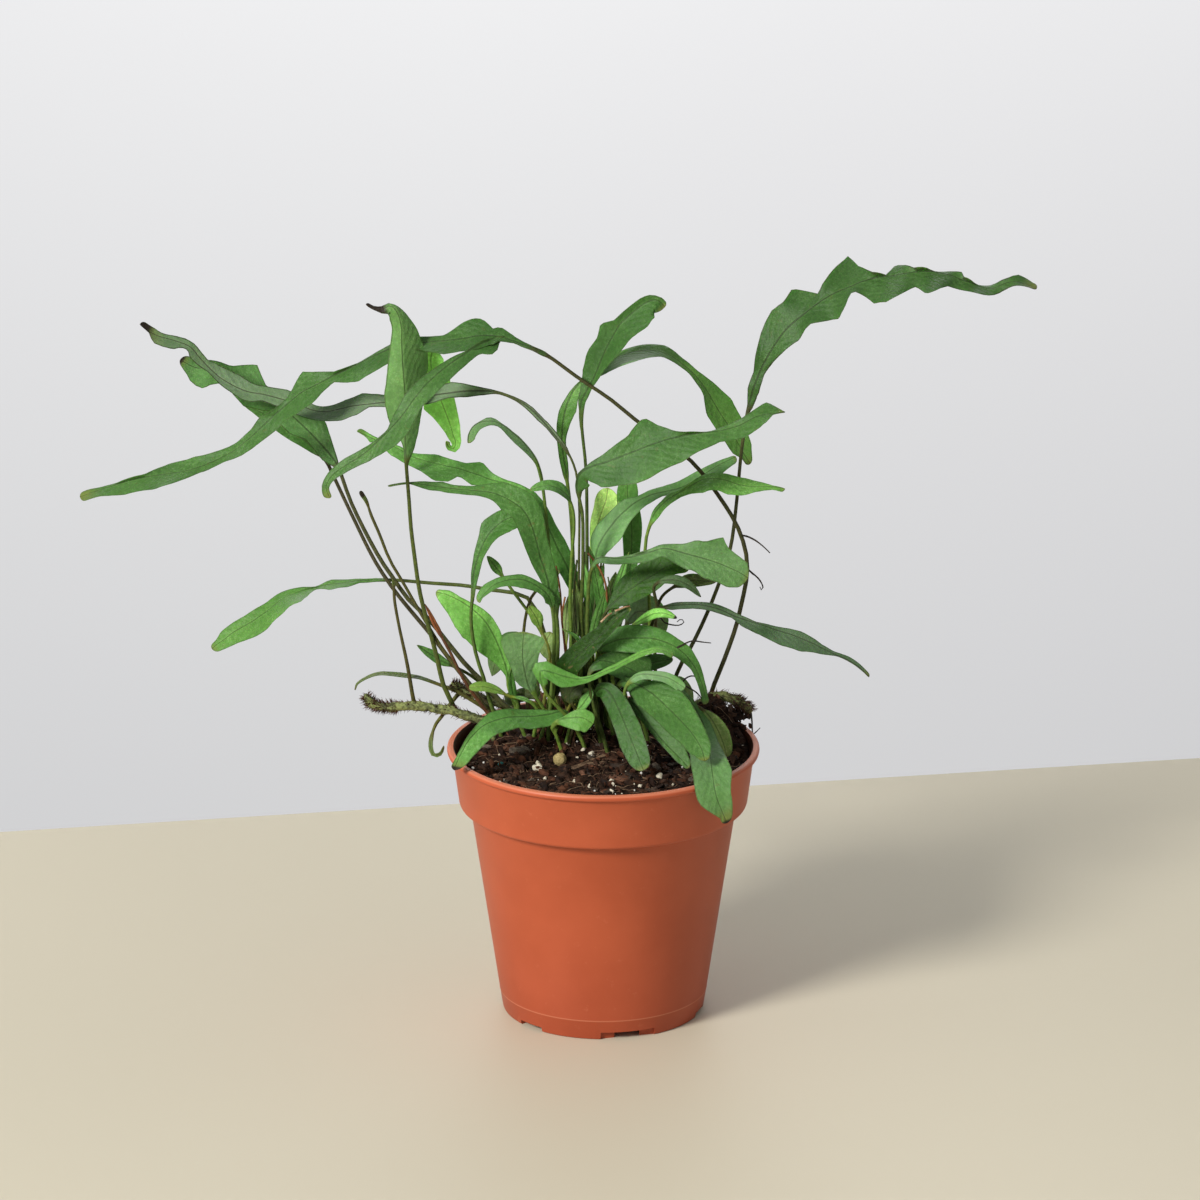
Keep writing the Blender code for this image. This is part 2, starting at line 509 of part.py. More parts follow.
          (2, -4, -14, -28, -44, -56), 16, (-20, -15, -10), wave=0.6,
          edges=(
              ((625, 677), (645, 680), (665, 682), (680, 690), (690, 702), (700, 720), (707, 735),
               (711, 745), (710, 755)),
              ((617, 683), (625, 695), (640, 707), (652, 717), (665, 730), (677, 742), (690, 755),
               (701, 762)),
          )),
    Frond("frond_over_rim", (22, 8),
          ((640, 700),),
          ((652, 686), (665, 683), (680, 691), (693, 706), (702, 722), (708, 745), (712, 770), (716, 795),
           (727, 823)),
          (6, 2, -5, -14, -30, -54, -62, -60), 17.5, (-20, -20, -10, -10), wave=0.9,
          edges=(
              ((652, 680), (665, 676), (685, 691), (700, 710), (712, 725), (720, 745), (727, 760),
               (732, 770), (731, 783), (732, 800), (733, 817)),
              ((652, 692), (664, 690), (672, 698), (680, 710), (686, 728), (689, 750), (692, 772),
               (695, 790), (698, 802), (708, 810), (720, 818)),
          )),
    Frond("frond_dark_strap", (15, -3),
          ((627, 716), (626, 705)),
          ((631, 702), (641, 713), (654, 730), (667, 745), (680, 758), (689, 768)),
          (-4, -12, -22, -30), 9, (0, 0), tip=0.6, colour=DARK_GREEN),
    Frond("frond_mottled", (30, 2),
          ((665, 712), (684, 704)),
          ((700, 708), (713, 722), (722, 740), (727, 757)),
          (0, -6, -14, -20), 9.5, (-20, 0), peak=0.6, tip=0.4, colour=DARK_GREEN),
    Frond("frond_under_leaf", (12, 24),
          ((610, 680), (622, 668)),
          ((632, 664), (645, 664), (658, 662), (673, 659)),
          (24, 23, 23), 9, (-30,), tip=0.5, colour=DARK_GREEN),
    Frond("frond_inner_dark", (2, -3),
          ((590, 690), (590, 670)),
          ((600, 661), (616, 664), (632, 670), (648, 680)),
          (-3, 1, 4), 8, (-30,), tip=0.6, colour=DARK_GREEN),
    Frond("frond_pale_small", (16, -9),
          ((625, 690),),
          ((636, 676), (652, 675), (668, 678), (685, 688)),
          (-12, -14, -15), 5.5, (-30, -20), tip=0.5, colour=LIGHT_GREEN),
    # The fronds that lean to the back, behind the rest
    Frond("frond_back_left", (-24, 50),
          ((540, 700), (537, 672)),
          ((532, 655), (525, 646), (515, 645), (504, 650), (496, 662), (492, 676)),
          (50, 62, 78, 94, 104), 15, (-160, -160, -170), wave=0.8),
    Frond("frond_back_mid", (6, 50),
          ((612, 690), (618, 650)),
          ((626, 625), (636, 612), (646, 612), (655, 622), (661, 640)),
          (54, 68, 88, 106, 118), 17, (-160, -160, -170), wave=0.8),
    Frond("frond_back_right", (34, 50),
          ((652, 703), (656, 692)),
          ((661, 687), (670, 684), (680, 688), (687, 698), (690, 711)),
          (54, 66, 84, 98, 106), 10, (-160, -160, -170), wave=0.8),
)

# The forked blade's two branches: where each leaves it, as a share of its course, then its picture
# points, their depths, its turn and its edges.
FORK_FRONT = (
    0.525,
    ((476, 347), (461, 357), (444, 369), (429, 382), (416, 397), (404, 414), (386, 434), (363, 455),
     (345, 466), (332, 476), (326, 487), (330, 498)),
    (36, 26, 17, 11, 9, 8),
    (35, 30, 25),
    (
        ((488, 356), (480, 354), (472, 358), (460, 370), (449, 381), (440, 390), (430, 400), (420, 410),
         (415, 420), (407, 435), (397, 445), (385, 452), (360, 465), (342, 475), (332, 482), (329, 489),
         (332, 497)),
        ((482, 340), (470, 348), (457, 357), (445, 361), (432, 370), (420, 378), (406, 393), (395, 412),
         (387, 430), (377, 439), (360, 450), (342, 460), (327, 474), (322, 485), (323, 495)),
    ),
)
FORK_BACK = (
    0.59,
    ((431, 362), (434, 382), (441, 400), (448, 418), (453, 436), (454, 451)),
    (50, 57, 61, 62),
    (15, 10),
    (
        ((441, 355), (447, 370), (452, 390), (456, 407), (460, 425), (461, 440), (458, 450)),
        ((424, 366), (424, 385), (428, 402), (435, 420), (445, 433), (450, 447)),
    ),
)


class Rhizome(NamedTuple):
    """A creeping rhizome: its picture points from the soil outwards, their depths, and its radius."""

    name: str
    root: tuple
    course: tuple
    depth: tuple
    radius: float


RHIZOMES = (
    Rhizome("rhizome_left", (-55, 18),
            ((484, 721), (478, 719), (464, 715), (450, 710), (438, 709), (420, 706), (404, 706), (386, 707),
             (371, 703), (365, 694)),
            (29, 33, 37, 40, 42), 2.3),
    Rhizome("rhizome_left_rear", (-36, 44),
            ((506, 705), (489, 701), (472, 694), (460, 688), (451, 683)),
            (45, 46, 48), 2.1),
    Rhizome("rhizome_right", (40, 34),
            ((703, 702), (709, 698), (717, 696), (727, 697), (737, 701), (746, 707), (751, 713)),
            (33, 31, 28), 2.4),
)


def seen(across, down, behind):
    """The point on the picture plane at (across, down) that lies behind the pot's axis by behind."""
    ray = AHEAD + Vector(((across - CENTRE) / FOCAL, 0, 0)) + UPWARD * ((CENTRE - down) / FOCAL)
    return EYE + ray * ((behind * MM - EYE.y) / ray.y)


def soil_height(x, y):
    """The soil's surface in millimetres, kept down near the pot's wall."""
    height = SOIL_LEVEL
    for rise, centre_x, centre_y, spread_x, spread_y in HEAPS:
        height += rise * math.exp(-(((x - centre_x) / spread_x) ** 2) - ((y - centre_y) / spread_y) ** 2)
    return min(height, SOIL_RIM_LEVEL + 1.2 * (SOIL_RADIUS - math.hypot(x, y)))


def smooth_course(points, samples=COURSE_SAMPLES):
    """A smooth line through the points, sampled evenly by length, with each point's share of it."""
    points = np.array(points, float)
    gaps = np.linalg.norm(np.diff(points, axis=0), axis=1) ** 0.5
    knots = np.concatenate([[0], np.cumsum(gaps)])
    slopes = np.gradient(points, knots, axis=0)
    at = np.linspace(0, knots[-1], 2 * samples)
    piece = np.clip(np.searchsorted(knots, at, side="right") - 1, 0, len(gaps) - 1)
    width = gaps[piece]
    t = ((at - knots[piece]) / width)[:, None]
    width = width[:, None]
    line = (
        (2 * t**3 - 3 * t**2 + 1) * points[piece]
        + (t**3 - 2 * t**2 + t) * width * slopes[piece]
        + (3 * t**2 - 2 * t**3) * points[piece + 1]
        + (t**3 - t**2) * width * slopes[piece + 1]
    )
    length = np.concatenate([[0], np.cumsum(np.linalg.norm(np.diff(line, axis=0), axis=1))])
    shares = np.interp(knots, at, length) / length[-1]
    even = np.linspace(0, length[-1], samples)
    line = np.stack([np.interp(even, length, line[:, k]) for k in range(3)], axis=1)
    return line, shares, length[-1]


def picture_course(root, picture, depth):
    """The course's points in space: the sunk root, then the picture points at their depths."""
    picture = np.array(picture, float)
    along = np.concatenate([[0], np.cumsum(np.linalg.norm(np.diff(picture, axis=0), axis=1))])
    behind = np.interp(along / along[-1], np.linspace(0, 1, len(depth)), depth)
    points = [seen(u, v, y) for (u, v), y in zip(picture, behind)]
    if root is None:
        return points
    surface = Vector((root[0], root[1], soil_height(*root))) * MM
    lean = (points[0] - surface).normalized()
    down = (lean + Vector((0, 0, 1))).normalized()
    return [surface - down * ROOT_DEPTH * MM, surface] + points


class Course:
    """A frond's or lobe's centre line with what is read along it."""

    def __init__(self, points, blade_from):
        self.line, shares, self.length = smooth_course(points)
        self.blade_share = shares[blade_from] if blade_from else 0.0
        self.tangents = np.gradient(self.line, axis=0)
        self.tangents /= np.linalg.norm(self.tangents, axis=1)[:, None]
        self.reaches = []

    def at(self, share):
        """The point and the direction at this share of the length."""
        place = share * (len(self.line) - 1)
        low = min(int(place), len(self.line) - 2)
        part = place - low
        point = self.line[low] * (1 - part) + self.line[low + 1] * part
        tangent = self.tangents[low] * (1 - part) + self.tangents[low + 1] * part
        return Vector(point), Vector(tangent).normalized()

    def stations(self, blade_step, stem_step):
        """Shares of the length: coarse along the stem, fine along the blade."""
        stem_length = self.length * self.blade_share
        stem = np.linspace(0, self.blade_share, max(4, int(stem_length / (stem_step * MM)) + 2))
        blade_count = max(6, int((self.length - stem_length) / (blade_step * MM)) + 2)
        blade = np.linspace(self.blade_share, 1, blade_count)
        if not self.blade_share:
            return blade
        return np.concatenate([stem[:-1], blade])


def profile(t, peak, base, tip):
    """The blade's half-width along it, as a share of the widest."""
    if t < peak:
        return math.sin(math.pi / 2 * t / peak) ** base
    return max(math.cos(math.pi / 2 * (t - peak) / (1 - peak)), 0.0) ** tip


def ring(frond, course, share, grow=0.0):
    """The section's six corners: left, middle and right of the upper face, then of the lower."""
    point, tangent = course.at(share)
    stem = STEM_RADIUS_LOW + (STEM_RADIUS_HIGH - STEM_RADIUS_LOW) * min(share / STEM_TAPERS_BY, 1.0) + grow
    start = course.blade_share
    t = (share - start) / (1 - start) if share > start else 0.0
    width = profile(t, frond.peak, frond.base, frond.tip) if share > start else 0.0
    least = STEM_HALF_WIDTH * stem * (1 - 0.5 * t)
    turn = math.radians(np.interp(t, np.linspace(0, 1, len(frond.turn)), frond.turn))
    half = 0.5 * frond.wide * width
    if course.reaches and share > start:
        left, right = (np.interp(share, shares, reach) for shares, reach in course.reaches)
        half = 0.5 * (left + right) / math.cos(turn)
    half = max(half, least)
    blend = min(1.0, max(0.0, (half - stem) / (2 * stem)))
    edge = 0.5 * (stem * (1 - blend) + BLADE_THICKNESS * blend)
    middle = stem * (1 - blend) + 0.5 * MIDRIB_THICKNESS * blend
    middle = max(MIDRIB_LEAST, middle * (1 - 0.4 * t))
    in_picture = TO_EYE.cross(tangent).normalized()
    facing = tangent.cross(in_picture)
    side = in_picture * math.cos(turn) + facing * math.sin(turn)
    normal = tangent.cross(side)
    swing = frond.wave * blend * max(math.sin(math.pi * t), 0.0) ** 0.5
    lift_left = frond.fold * half * blend + swing * math.sin(math.tau * frond.waves * t)
    lift_right = frond.fold * half * blend + swing * math.sin(math.tau * (frond.waves * t + WAVE_LAG))
    half_left = half_right = half
    if course.reaches and share > start:
        half_left = max((right - lift_left * math.sin(turn)) / math.cos(turn), least)
        half_right = max((left + lift_right * math.sin(turn)) / math.cos(turn), least)
    corners = (
        (-half_left, lift_left + edge),
        (0, middle),
        (half_right, lift_right + edge),
        (half_right, lift_right - edge),
        (0, -middle),
        (-half_left, lift_left - edge),
    )
    return [point + (side * across + normal * up) * MM for across, up in corners]


def loft(name, rings):
    """A closed mesh through the rings, split into triangles alike on its two faces."""
    shape = bmesh.new()
    rows = [[shape.verts.new(corner) for corner in corners] for corners in rings]
    for low, high in zip(rows, rows[1:]):
        for k in range(6):
            n = (k + 1) % 6
            if k in RISING_SPLITS:
                shape.faces.new((low[k], low[n], high[n]))
                shape.faces.new((low[k], high[n], high[k]))
            else:
                shape.faces.new((low[k], low[n], high[k]))
                shape.faces.new((low[n], high[n], high[k]))
    for end in (rows[0][::-1], rows[-1]):
        left, top, right, right_low, low, left_low = end
        shape.faces.new((left, top, low, left_low))
        shape.faces.new((top, right, right_low, low))
    bmesh.ops.recalc_face_normals(shape, faces=shape.faces)
    mesh = bpy.data.meshes.new(name)
    shape.to_mesh(mesh)
    shape.free()
    return mesh


def principled(name, colour, roughness, metallic=0.0):
    material = bpy.data.materials.new(name)
    material.use_nodes = True
    shader = material.node_tree.nodes["Principled BSDF"]
    shader.inputs["Base Color"].default_value = (*colour, 1.0)
    shader.inputs["Roughness"].default_value = roughness
    shader.inputs["Metallic"].default_value = metallic
    return material


def add_object(name, mesh, collection, material=None):
    obj = bpy.data.objects.new(name, mesh)
    collection.objects.link(obj)
    if material:
        mesh.materials.append(material)
    return obj


def add_cutter(name, mesh, collection):
    cutter = add_object(name, mesh, collection)
    cutter.hide_render = True
    cutter.display_type = "WIRE"
    return cutter


def cut_with(obj, collection, operation="DIFFERENCE"):
    boolean = obj.modifiers.new("cut", "BOOLEAN")
    boolean.operand_type = "COLLECTION"
    boolean.collection = collection
    boolean.operation = operation
    boolean.solver = "EXACT"
    return boolean


def apply_modifiers(obj):
    """Replaces the object's mesh by its evaluated one."""
    graph = bpy.context.evaluated_depsgraph_get()
    mesh = bpy.data.meshes.new_from_object(obj.evaluated_get(graph))
    obj.modifiers.clear()
    obj.data = mesh


def pictured(point):
    """Where the point in space falls on the picture plane, and how many millimetres a pixel spans."""
    ray = Vector(point) - EYE
    ahead = ray.dot(AHEAD)
    return CENTRE + FOCAL * ray.x / ahead, CENTRE - FOCAL * ray.dot(UPWARD) / ahead, ahead / MM / FOCAL


def edge_reach(course, edge):
    """For each of the edge's picture points, its share of the course and its distance from it."""
    line = np.array([pictured(point) for point in course.line])
    shares = []
    reaches = []
    for corner in edge:
        away = np.hypot(line[:, 0] - corner[0], line[:, 1] - corner[1])
        nearest = int(away.argmin())
        shares.append(nearest / (len(line) - 1))
        reaches.append(away[nearest] * line[nearest, 2])
    order = np.argsort(shares)
    return np.array(shares)[order], np.array(reaches)[order]


def frond_course(frond):
    picture = frond.stem + frond.blade
    points = picture_course(frond.root, picture, frond.depth)
    roots = 0 if frond.root is None else 2
    course = Course(points, roots + len(frond.stem))
    course.reaches = [edge_reach(course, edge) for edge in frond.edges]
    return course


def frond_step(frond):
    """Plain blades take longer steps than those with an outline of their own."""
    return BLADE_STEP if frond.edges else 1.35 * BLADE_STEP


def add_frond(frond, plant):
    course = frond_course(frond)
    shares = course.stations(frond_step(frond), STEM_STEP)
    mesh = loft(frond.name, [ring(frond, course, share) for share in shares])
    return add_object(frond.name, mesh, plant, principled(frond.name, frond.colour, LEAF_ROUGHNESS))


def add_branch(frond, course, branch, joined):
    """A branch of the forked blade, from inside the blade that it leaves."""
    share, picture, depth, turn, edges = branch
    form = frond._replace(turn=turn, wave=0.6, waves=3)
    inside, _ = course.at(share)
    branch_course = Course([inside, *picture_course(None, picture, depth)], 0)
    branch_course.reaches = [edge_reach(branch_course, edge) for edge in edges]
    shares = branch_course.stations(BLADE_STEP, STEM_STEP)
    mesh = loft("branch", [ring(form, branch_course, share) for share in shares])
    return add_object("branch", mesh, joined)


def add_fork(obj, frond):
    """Fuses the two branches to the forked frond."""
    joined = new_collection("branches")
    course = frond_course(frond)
    add_branch(frond, course, FORK_FRONT, joined)
    add_branch(frond, course, FORK_BACK, joined)
    cut_with(obj, joined, "UNION")
    apply_modifiers(obj)
    for branch in list(joined.objects):
        bpy.data.objects.remove(branch)
    bpy.data.collections.remove(joined)


def add_hole_cutter(frond, cutters):
    """A tube a little wider than the stem, on the same sections, from below its root to above the soil."""
    course = frond_course(frond)
    rings = []
    for share in course.stations(frond_step(frond), STEM_STEP):
        rings.append(ring(frond, course, share, grow=HOLE_CLEARANCE))
        point, _ = course.at(share)
        if point.z / MM > soil_height(point.x / MM, point.y / MM) + HOLE_RISE:
            break
    drop = (rings[0][1] - rings[1][1]).normalized() * 2 * GAP
    rings[0] = [corner + drop for corner in rings[0]]
    add_cutter("hole_" + frond.name, loft("hole_" + frond.name, rings), cutters)


def rhizome_radius(share, radius):
    """Lumpy along its length and rounded off at the growing tip."""
    lumps = 1 + LUMP_SHARE * math.sin(share * math.tau * LUMPS)
    past = max(0.0, (share - TIP_ROUNDS_FROM) / (1 - TIP_ROUNDS_FROM))
    return radius * lumps * max(math.sqrt(1 - min(past, 1.0) ** 2), LEAST_TIP)


def add_rhizome(rhizome, name, collection, grow=0.0, material=None):
    """A tube along the rhizome's course, as a mesh with its caps welded."""
    points = picture_course(rhizome.root, rhizome.course, rhizome.depth)
    line, _, length = smooth_course(points)
    count = int(length / (RHIZOME_STEP * MM))
    shares = np.linspace(0, 1, count)
    curve = bpy.data.curves.new(name, "CURVE")
    curve.dimensions = "3D"
    curve.bevel_depth = MM
    curve.bevel_resolution = 2
    curve.use_fill_caps = True
    spline = curve.splines.new("POLY")
    spline.points.add(count - 1)
    for place, share in zip(spline.points, shares):
        place.co = (*line[int(share * (len(line) - 1))], 1.0)
        place.radius = rhizome_radius(share, rhizome.radius) + grow / MM
    guide = bpy.data.objects.new(name + "_guide", curve)
    bpy.context.scene.collection.objects.link(guide)
    graph = bpy.context.evaluated_depsgraph_get()
    mesh = bpy.data.meshes.new_from_object(guide.evaluated_get(graph))
    mesh.name = name
    bpy.data.objects.remove(guide)
    weld = bmesh.new()
    weld.from_mesh(mesh)
    bmesh.ops.remove_doubles(weld, verts=weld.verts, dist=0.00001)
    bmesh.ops.recalc_face_normals(weld, faces=weld.faces)
    weld.to_mesh(mesh)
    weld.free()
    if material is None:
        return add_cutter(name, mesh, collection)
    return add_object(name, mesh, collection, material)


def pot_outside():
    """The pot's outer section from the lip's top down the outside and under the floor to the axis."""
    top = POT_HEIGHT
    return [
        (RIM_RADIUS - 1.2 * MM, top),
        (RIM_RADIUS - 0.3 * MM, top - 0.5 * MM),
        (RIM_RADIUS, top - 1.4 * MM),
        (RIM_RADIUS - 0.4 * MM, top - LIP_HEIGHT + 0.3 * MM),
        (BAND_TOP_RADIUS, top - LIP_HEIGHT - 0.4 * MM),
        (BAND_BOTTOM_RADIUS, BAND_BOTTOM + 2.0 * MM),
        (BAND_BOTTOM_RADIUS - 0.7 * MM, BAND_BOTTOM + 0.5 * MM),
        (BAND_BOTTOM_RADIUS - 2.2 * MM, BAND_BOTTOM),
        (BODY_TOP_RADIUS, BAND_BOTTOM - 0.6 * MM),
        (BASE_RADIUS + BODY_SLOPE * 8 * MM, 8 * MM),
        (BASE_RADIUS, 1.0 * MM),
        (BASE_RADIUS - 0.8 * MM, 0),
        (BASE_RADIUS - FOOT_WIDTH, 0),
        (BASE_RADIUS - FOOT_WIDTH - 0.4 * MM, FLOOR_UNDER),
        (PAD_RADIUS + 0.5 * MM, FLOOR_UNDER),
        (PAD_RADIUS, 0),
        (0, 0),
    ]


def pot_inside():
    """The pot's inner section from the axis over the floor and up the wall to the lip's top."""
    return [
        (0, FLOOR_UNDER + WALL),
        (BASE_RADIUS - WALL + BODY_SLOPE * 5 * MM, FLOOR_UNDER + WALL),
        (BODY_TOP_RADIUS - WALL, INNER_SHELF - 2 * WALL),
        (BAND_BOTTOM_RADIUS - WALL, INNER_SHELF),
        (BAND_TOP_RADIUS - WALL, POT_HEIGHT - LIP_HEIGHT),
        (BAND_TOP_RADIUS - 0.9 * MM, POT_HEIGHT),
    ]


def add_pot(plant, cutters):
    section = bmesh.new()
    outside = [section.verts.new((radius, 0, height)) for radius, height in pot_outside()]
    inside = [section.verts.new((radius, 0, height)) for radius, height in pot_inside()]
    for line in (outside, inside, (inside[-1], outside[0])):
        for pair in zip(line, line[1:]):
            section.edges.new(pair)
    mesh = bpy.data.meshes.new("pot")
    section.to_mesh(mesh)
    section.free()
    pot = add_object("pot", mesh, plant, principled("terracotta_plastic", TERRACOTTA, 0.55))
    turned = pot.modifiers.new("turned", "SCREW")
    turned.steps = POT_SIDES
    turned.render_steps = POT_SIDES
    turned.use_merge_vertices = True
    turned.merge_threshold = 0.00001
    turned.use_smooth_shade = True
    add_foot_cutters(cutters)
    cut_with(pot, cutters)
    return pot


def turned_box(name, size, centre, angle, collection):
    """A box that stands at a radius along -Y and is then turned about the pot's axis."""
    box = bmesh.new()
    bmesh.ops.create_cube(box, size=1.0)
    bmesh.ops.scale(box, vec=size, verts=box.verts)
    bmesh.ops.translate(box, vec=centre, verts=box.verts)
    mesh = bpy.data.meshes.new(name)
    box.to_mesh(mesh)
    box.free()
    cutter = add_cutter(name, mesh, collection)
    cutter.rotation_euler.z = angle
    return cutter


def add_foot_cutters(cutters):
    over = 1.0 * MM
    for k in range(NOTCHES):
        angle = FIRST_NOTCH + k * math.tau / NOTCHES
        opening = (NOTCH_WIDTH, 4 * FOOT_WIDTH, NOTCH_HEIGHT + over)
        height = (NOTCH_HEIGHT - over) / 2
        turned_box(f"notch_{k}", opening, (0, -BASE_RADIUS, height), angle, cutters)
        sides = (RECESS_WIDTH, 4 * MM, NOTCH_HEIGHT + over)
        place = -BASE_RADIUS * math.cos(RECESS_WIDTH / 2 / BASE_RADIUS) + RECESS_DEPTH - 2 * MM
        turned_box(f"recess_{k}", sides, (0, place, height), angle, cutters)
        drain = bmesh.new()
        bmesh.ops.create_cone(drain, cap_ends=True, segments=12, radius1=DRAIN_RADIUS,
                              radius2=DRAIN_RADIUS, depth=4 * WALL)
        aside = angle + math.tau / NOTCHES / 2
        centre = (DRAINS_AT * math.sin(aside), -DRAINS_AT * math.cos(aside), FLOOR_UNDER + WALL / 2)
        bmesh.ops.translate(drain, vec=centre, verts=drain.verts)
        mesh = bpy.data.meshes.new(f"drain_{k}")
        drain.to_mesh(mesh)
        drain.free()
        add_cutter(f"drain_{k}", mesh, cutters)


def pot_inside_radius(height):
    """The radius of the pot's inner wall at this height, in metres."""
    radii, heights = zip(*pot_inside()[1:])
    return float(np.interp(height, heights, radii))


def add_soil(plant, cutters):
    """The soil that fills the pot: a spun plug whose top is raised into heaps by formula."""
    top = [(radius * MM, SOIL_RIM_LEVEL * MM) for radius in SOIL_RINGS]
    side_heights = [(SOIL_LEVEL - 8) * MM, INNER_SHELF, INNER_SHELF - 2 * WALL, SOIL_BOTTOM]
    side = [(pot_inside_radius(height) - 2 * GAP, height) for height in side_heights]
    corners = top + side + [(0.0, SOIL_BOTTOM)]
    plug = bmesh.new()
    verts = [plug.verts.new((radius, 0, height)) for radius, height in corners]
    edges = [plug.edges.new(pair) for pair in zip(verts, verts[1:])]
    bmesh.ops.spin(plug, geom=verts + edges, cent=(0, 0, 0), axis=(0, 0, 1), angle=math.tau,
                   steps=SOIL_SIDES, use_merge=True)
    bmesh.ops.remove_doubles(plug, verts=plug.verts, dist=0.00001)
    for vert in plug.verts:
        if vert.co.z > (SOIL_RIM_LEVEL - 1) * MM:
            vert.co.z = soil_height(vert.co.x / MM, vert.co.y / MM) * MM
    bmesh.ops.triangulate(plug, faces=plug.faces)
    bmesh.ops.recalc_face_normals(plug, faces=plug.faces)
    mesh = bpy.data.meshes.new("soil")
    plug.to_mesh(mesh)
    plug.free()
    soil = add_object("soil", mesh, plant, principled("potting_soil", SOIL_BROWN, 0.95))
    cut_with(soil, cutters)
    return soil


def clear_scene():
    for obj in list(bpy.data.objects):
        bpy.data.objects.remove(obj)


def new_collection(name):
    collection = bpy.data.collections.new(name)
    bpy.context.scene.collection.children.link(collection)
    return collection


def main():
    clear_scene()
    plant = new_collection("potted_kangaroo_fern")
    foot_cutters = new_collection("foot_cutters")
    hole_cutters = new_collection("hole_cutters")
    foot_cutters.hide_render = True
    hole_cutters.hide_render = True
    add_pot(plant, foot_cutters)
    for rhizome in RHIZOMES:
        bark = principled(rhizome.name, BARK, 0.7)
        add_rhizome(rhizome, rhizome.name, plant, material=bark)
        add_rhizome(rhizome, "trough_" + rhizome.name, hole_cutters, grow=1.4 * GAP)
    for frond in FRONDS:
        obj = add_frond(frond, plant)
        if frond.name == "frond_forked":
            add_fork(obj, frond)
        if frond.root is not None:
            add_hole_cutter(frond, hole_cutters)
    add_soil(plant, hole_cutters)


main()
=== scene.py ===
"""The potted kangaroo fern dressed for its picture: fronds, rhizomes, soil and nursery pot.

Metres, +Z up. The origin is the centre of the pot's underside, and the plant is seen from -Y.
"""

import json
import math
import random
from typing import NamedTuple

import bmesh
import bpy
import numpy as np
from mathutils import Matrix, Vector, noise

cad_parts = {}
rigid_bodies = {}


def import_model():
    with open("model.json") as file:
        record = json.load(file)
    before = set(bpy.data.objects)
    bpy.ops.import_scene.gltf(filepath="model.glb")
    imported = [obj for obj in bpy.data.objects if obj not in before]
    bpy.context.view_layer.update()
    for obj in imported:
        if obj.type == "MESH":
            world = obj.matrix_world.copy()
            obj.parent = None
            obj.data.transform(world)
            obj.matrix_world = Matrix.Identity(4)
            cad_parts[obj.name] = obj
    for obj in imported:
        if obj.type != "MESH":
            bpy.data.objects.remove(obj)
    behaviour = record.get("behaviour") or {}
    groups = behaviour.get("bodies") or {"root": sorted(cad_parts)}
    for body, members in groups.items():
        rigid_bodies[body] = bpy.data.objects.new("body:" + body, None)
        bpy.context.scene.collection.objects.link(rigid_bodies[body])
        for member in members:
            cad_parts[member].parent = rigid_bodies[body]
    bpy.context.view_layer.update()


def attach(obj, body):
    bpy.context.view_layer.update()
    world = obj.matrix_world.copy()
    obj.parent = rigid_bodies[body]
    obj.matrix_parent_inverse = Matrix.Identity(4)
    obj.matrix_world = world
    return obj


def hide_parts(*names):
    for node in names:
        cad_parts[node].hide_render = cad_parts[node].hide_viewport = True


MM = 0.001

# The pot, in millimetres
POT_HEIGHT = 134.4
RIM_RADIUS = 76.0
LIP_HEIGHT = 3.0
BAND_TOP_RADIUS = 73.4
BAND_BOTTOM_RADIUS = 70.3
BAND_BOTTOM = 105.2
BODY_TOP_RADIUS = 64.9
BASE_RADIUS = 49.4
WALL = 1.6
INNER_SHELF = BAND_BOTTOM + 1.5 * WALL
FLOOR_UNDER = 4.0
FOOT_WIDTH = 3.0
PAD_RADIUS = 10.0
POT_STEPS = 160
PARTING_LINE = 10.1

# The foot's drainage notches and the floor's drain holes
NOTCHES = 6
FIRST_NOTCH = math.radians(14.3)
NOTCH_HEIGHT = 3.9
LOW_NOTCH_HEIGHT = 2.5
LOW_NOTCH_WIDTH = 14.5
NOTCH_WIDTH = 12.5
RECESS_WIDTH = 27.0
RECESS_DEPTH = 1.5
DRAIN_RADIUS = 4.0
DRAINS_AT = 32.0

# The soil's surface: an even level with heaps on it, and loose banks that end at the pot's wall
SOIL_LEVEL = 128.5
SOIL_RIM_LEVEL = 133.0
SOIL_RADIUS = 70.9
SOIL_BOTTOM = 7.0
SOIL_STEPS = 190
SOIL_RINGS = 84
HEAPS = (
    # height, centre x, centre y, spread x, spread y, in millimetres
    (9.0, -8.0, 16.0, 38.0, 20.0),
    (15.0, 54.0, 31.0, 20.0, 18.0),
    (5.0, -48.0, 30.0, 18.0, 20.0),
)
BANKS = (
    # height, centre x, centre y, spread x, spread y, in millimetres, and how steeply it ends along x
    (10.5, 5.0, 56.0, 46.0, 12.0, 4),
    (8.0, 58.0, 22.0, 13.0, 15.0, 2),
)
BANK_ENDS_OVER = 8.0

# How many small pieces there are of each kind, and how far from the axis the larger ones lie
CRUMBS = 2400
CLUMP_CRUMBS = 420
GRAINS = 110
CHIPS = 70
FIBRES = 240
HAIRS = 900
STUBS = 46
CROWN_STUBS = 22
CRUMB_REACH = 68.5
CHIP_REACH = 66.0
FIBRE_REACH = 69.0
BATCH = 60

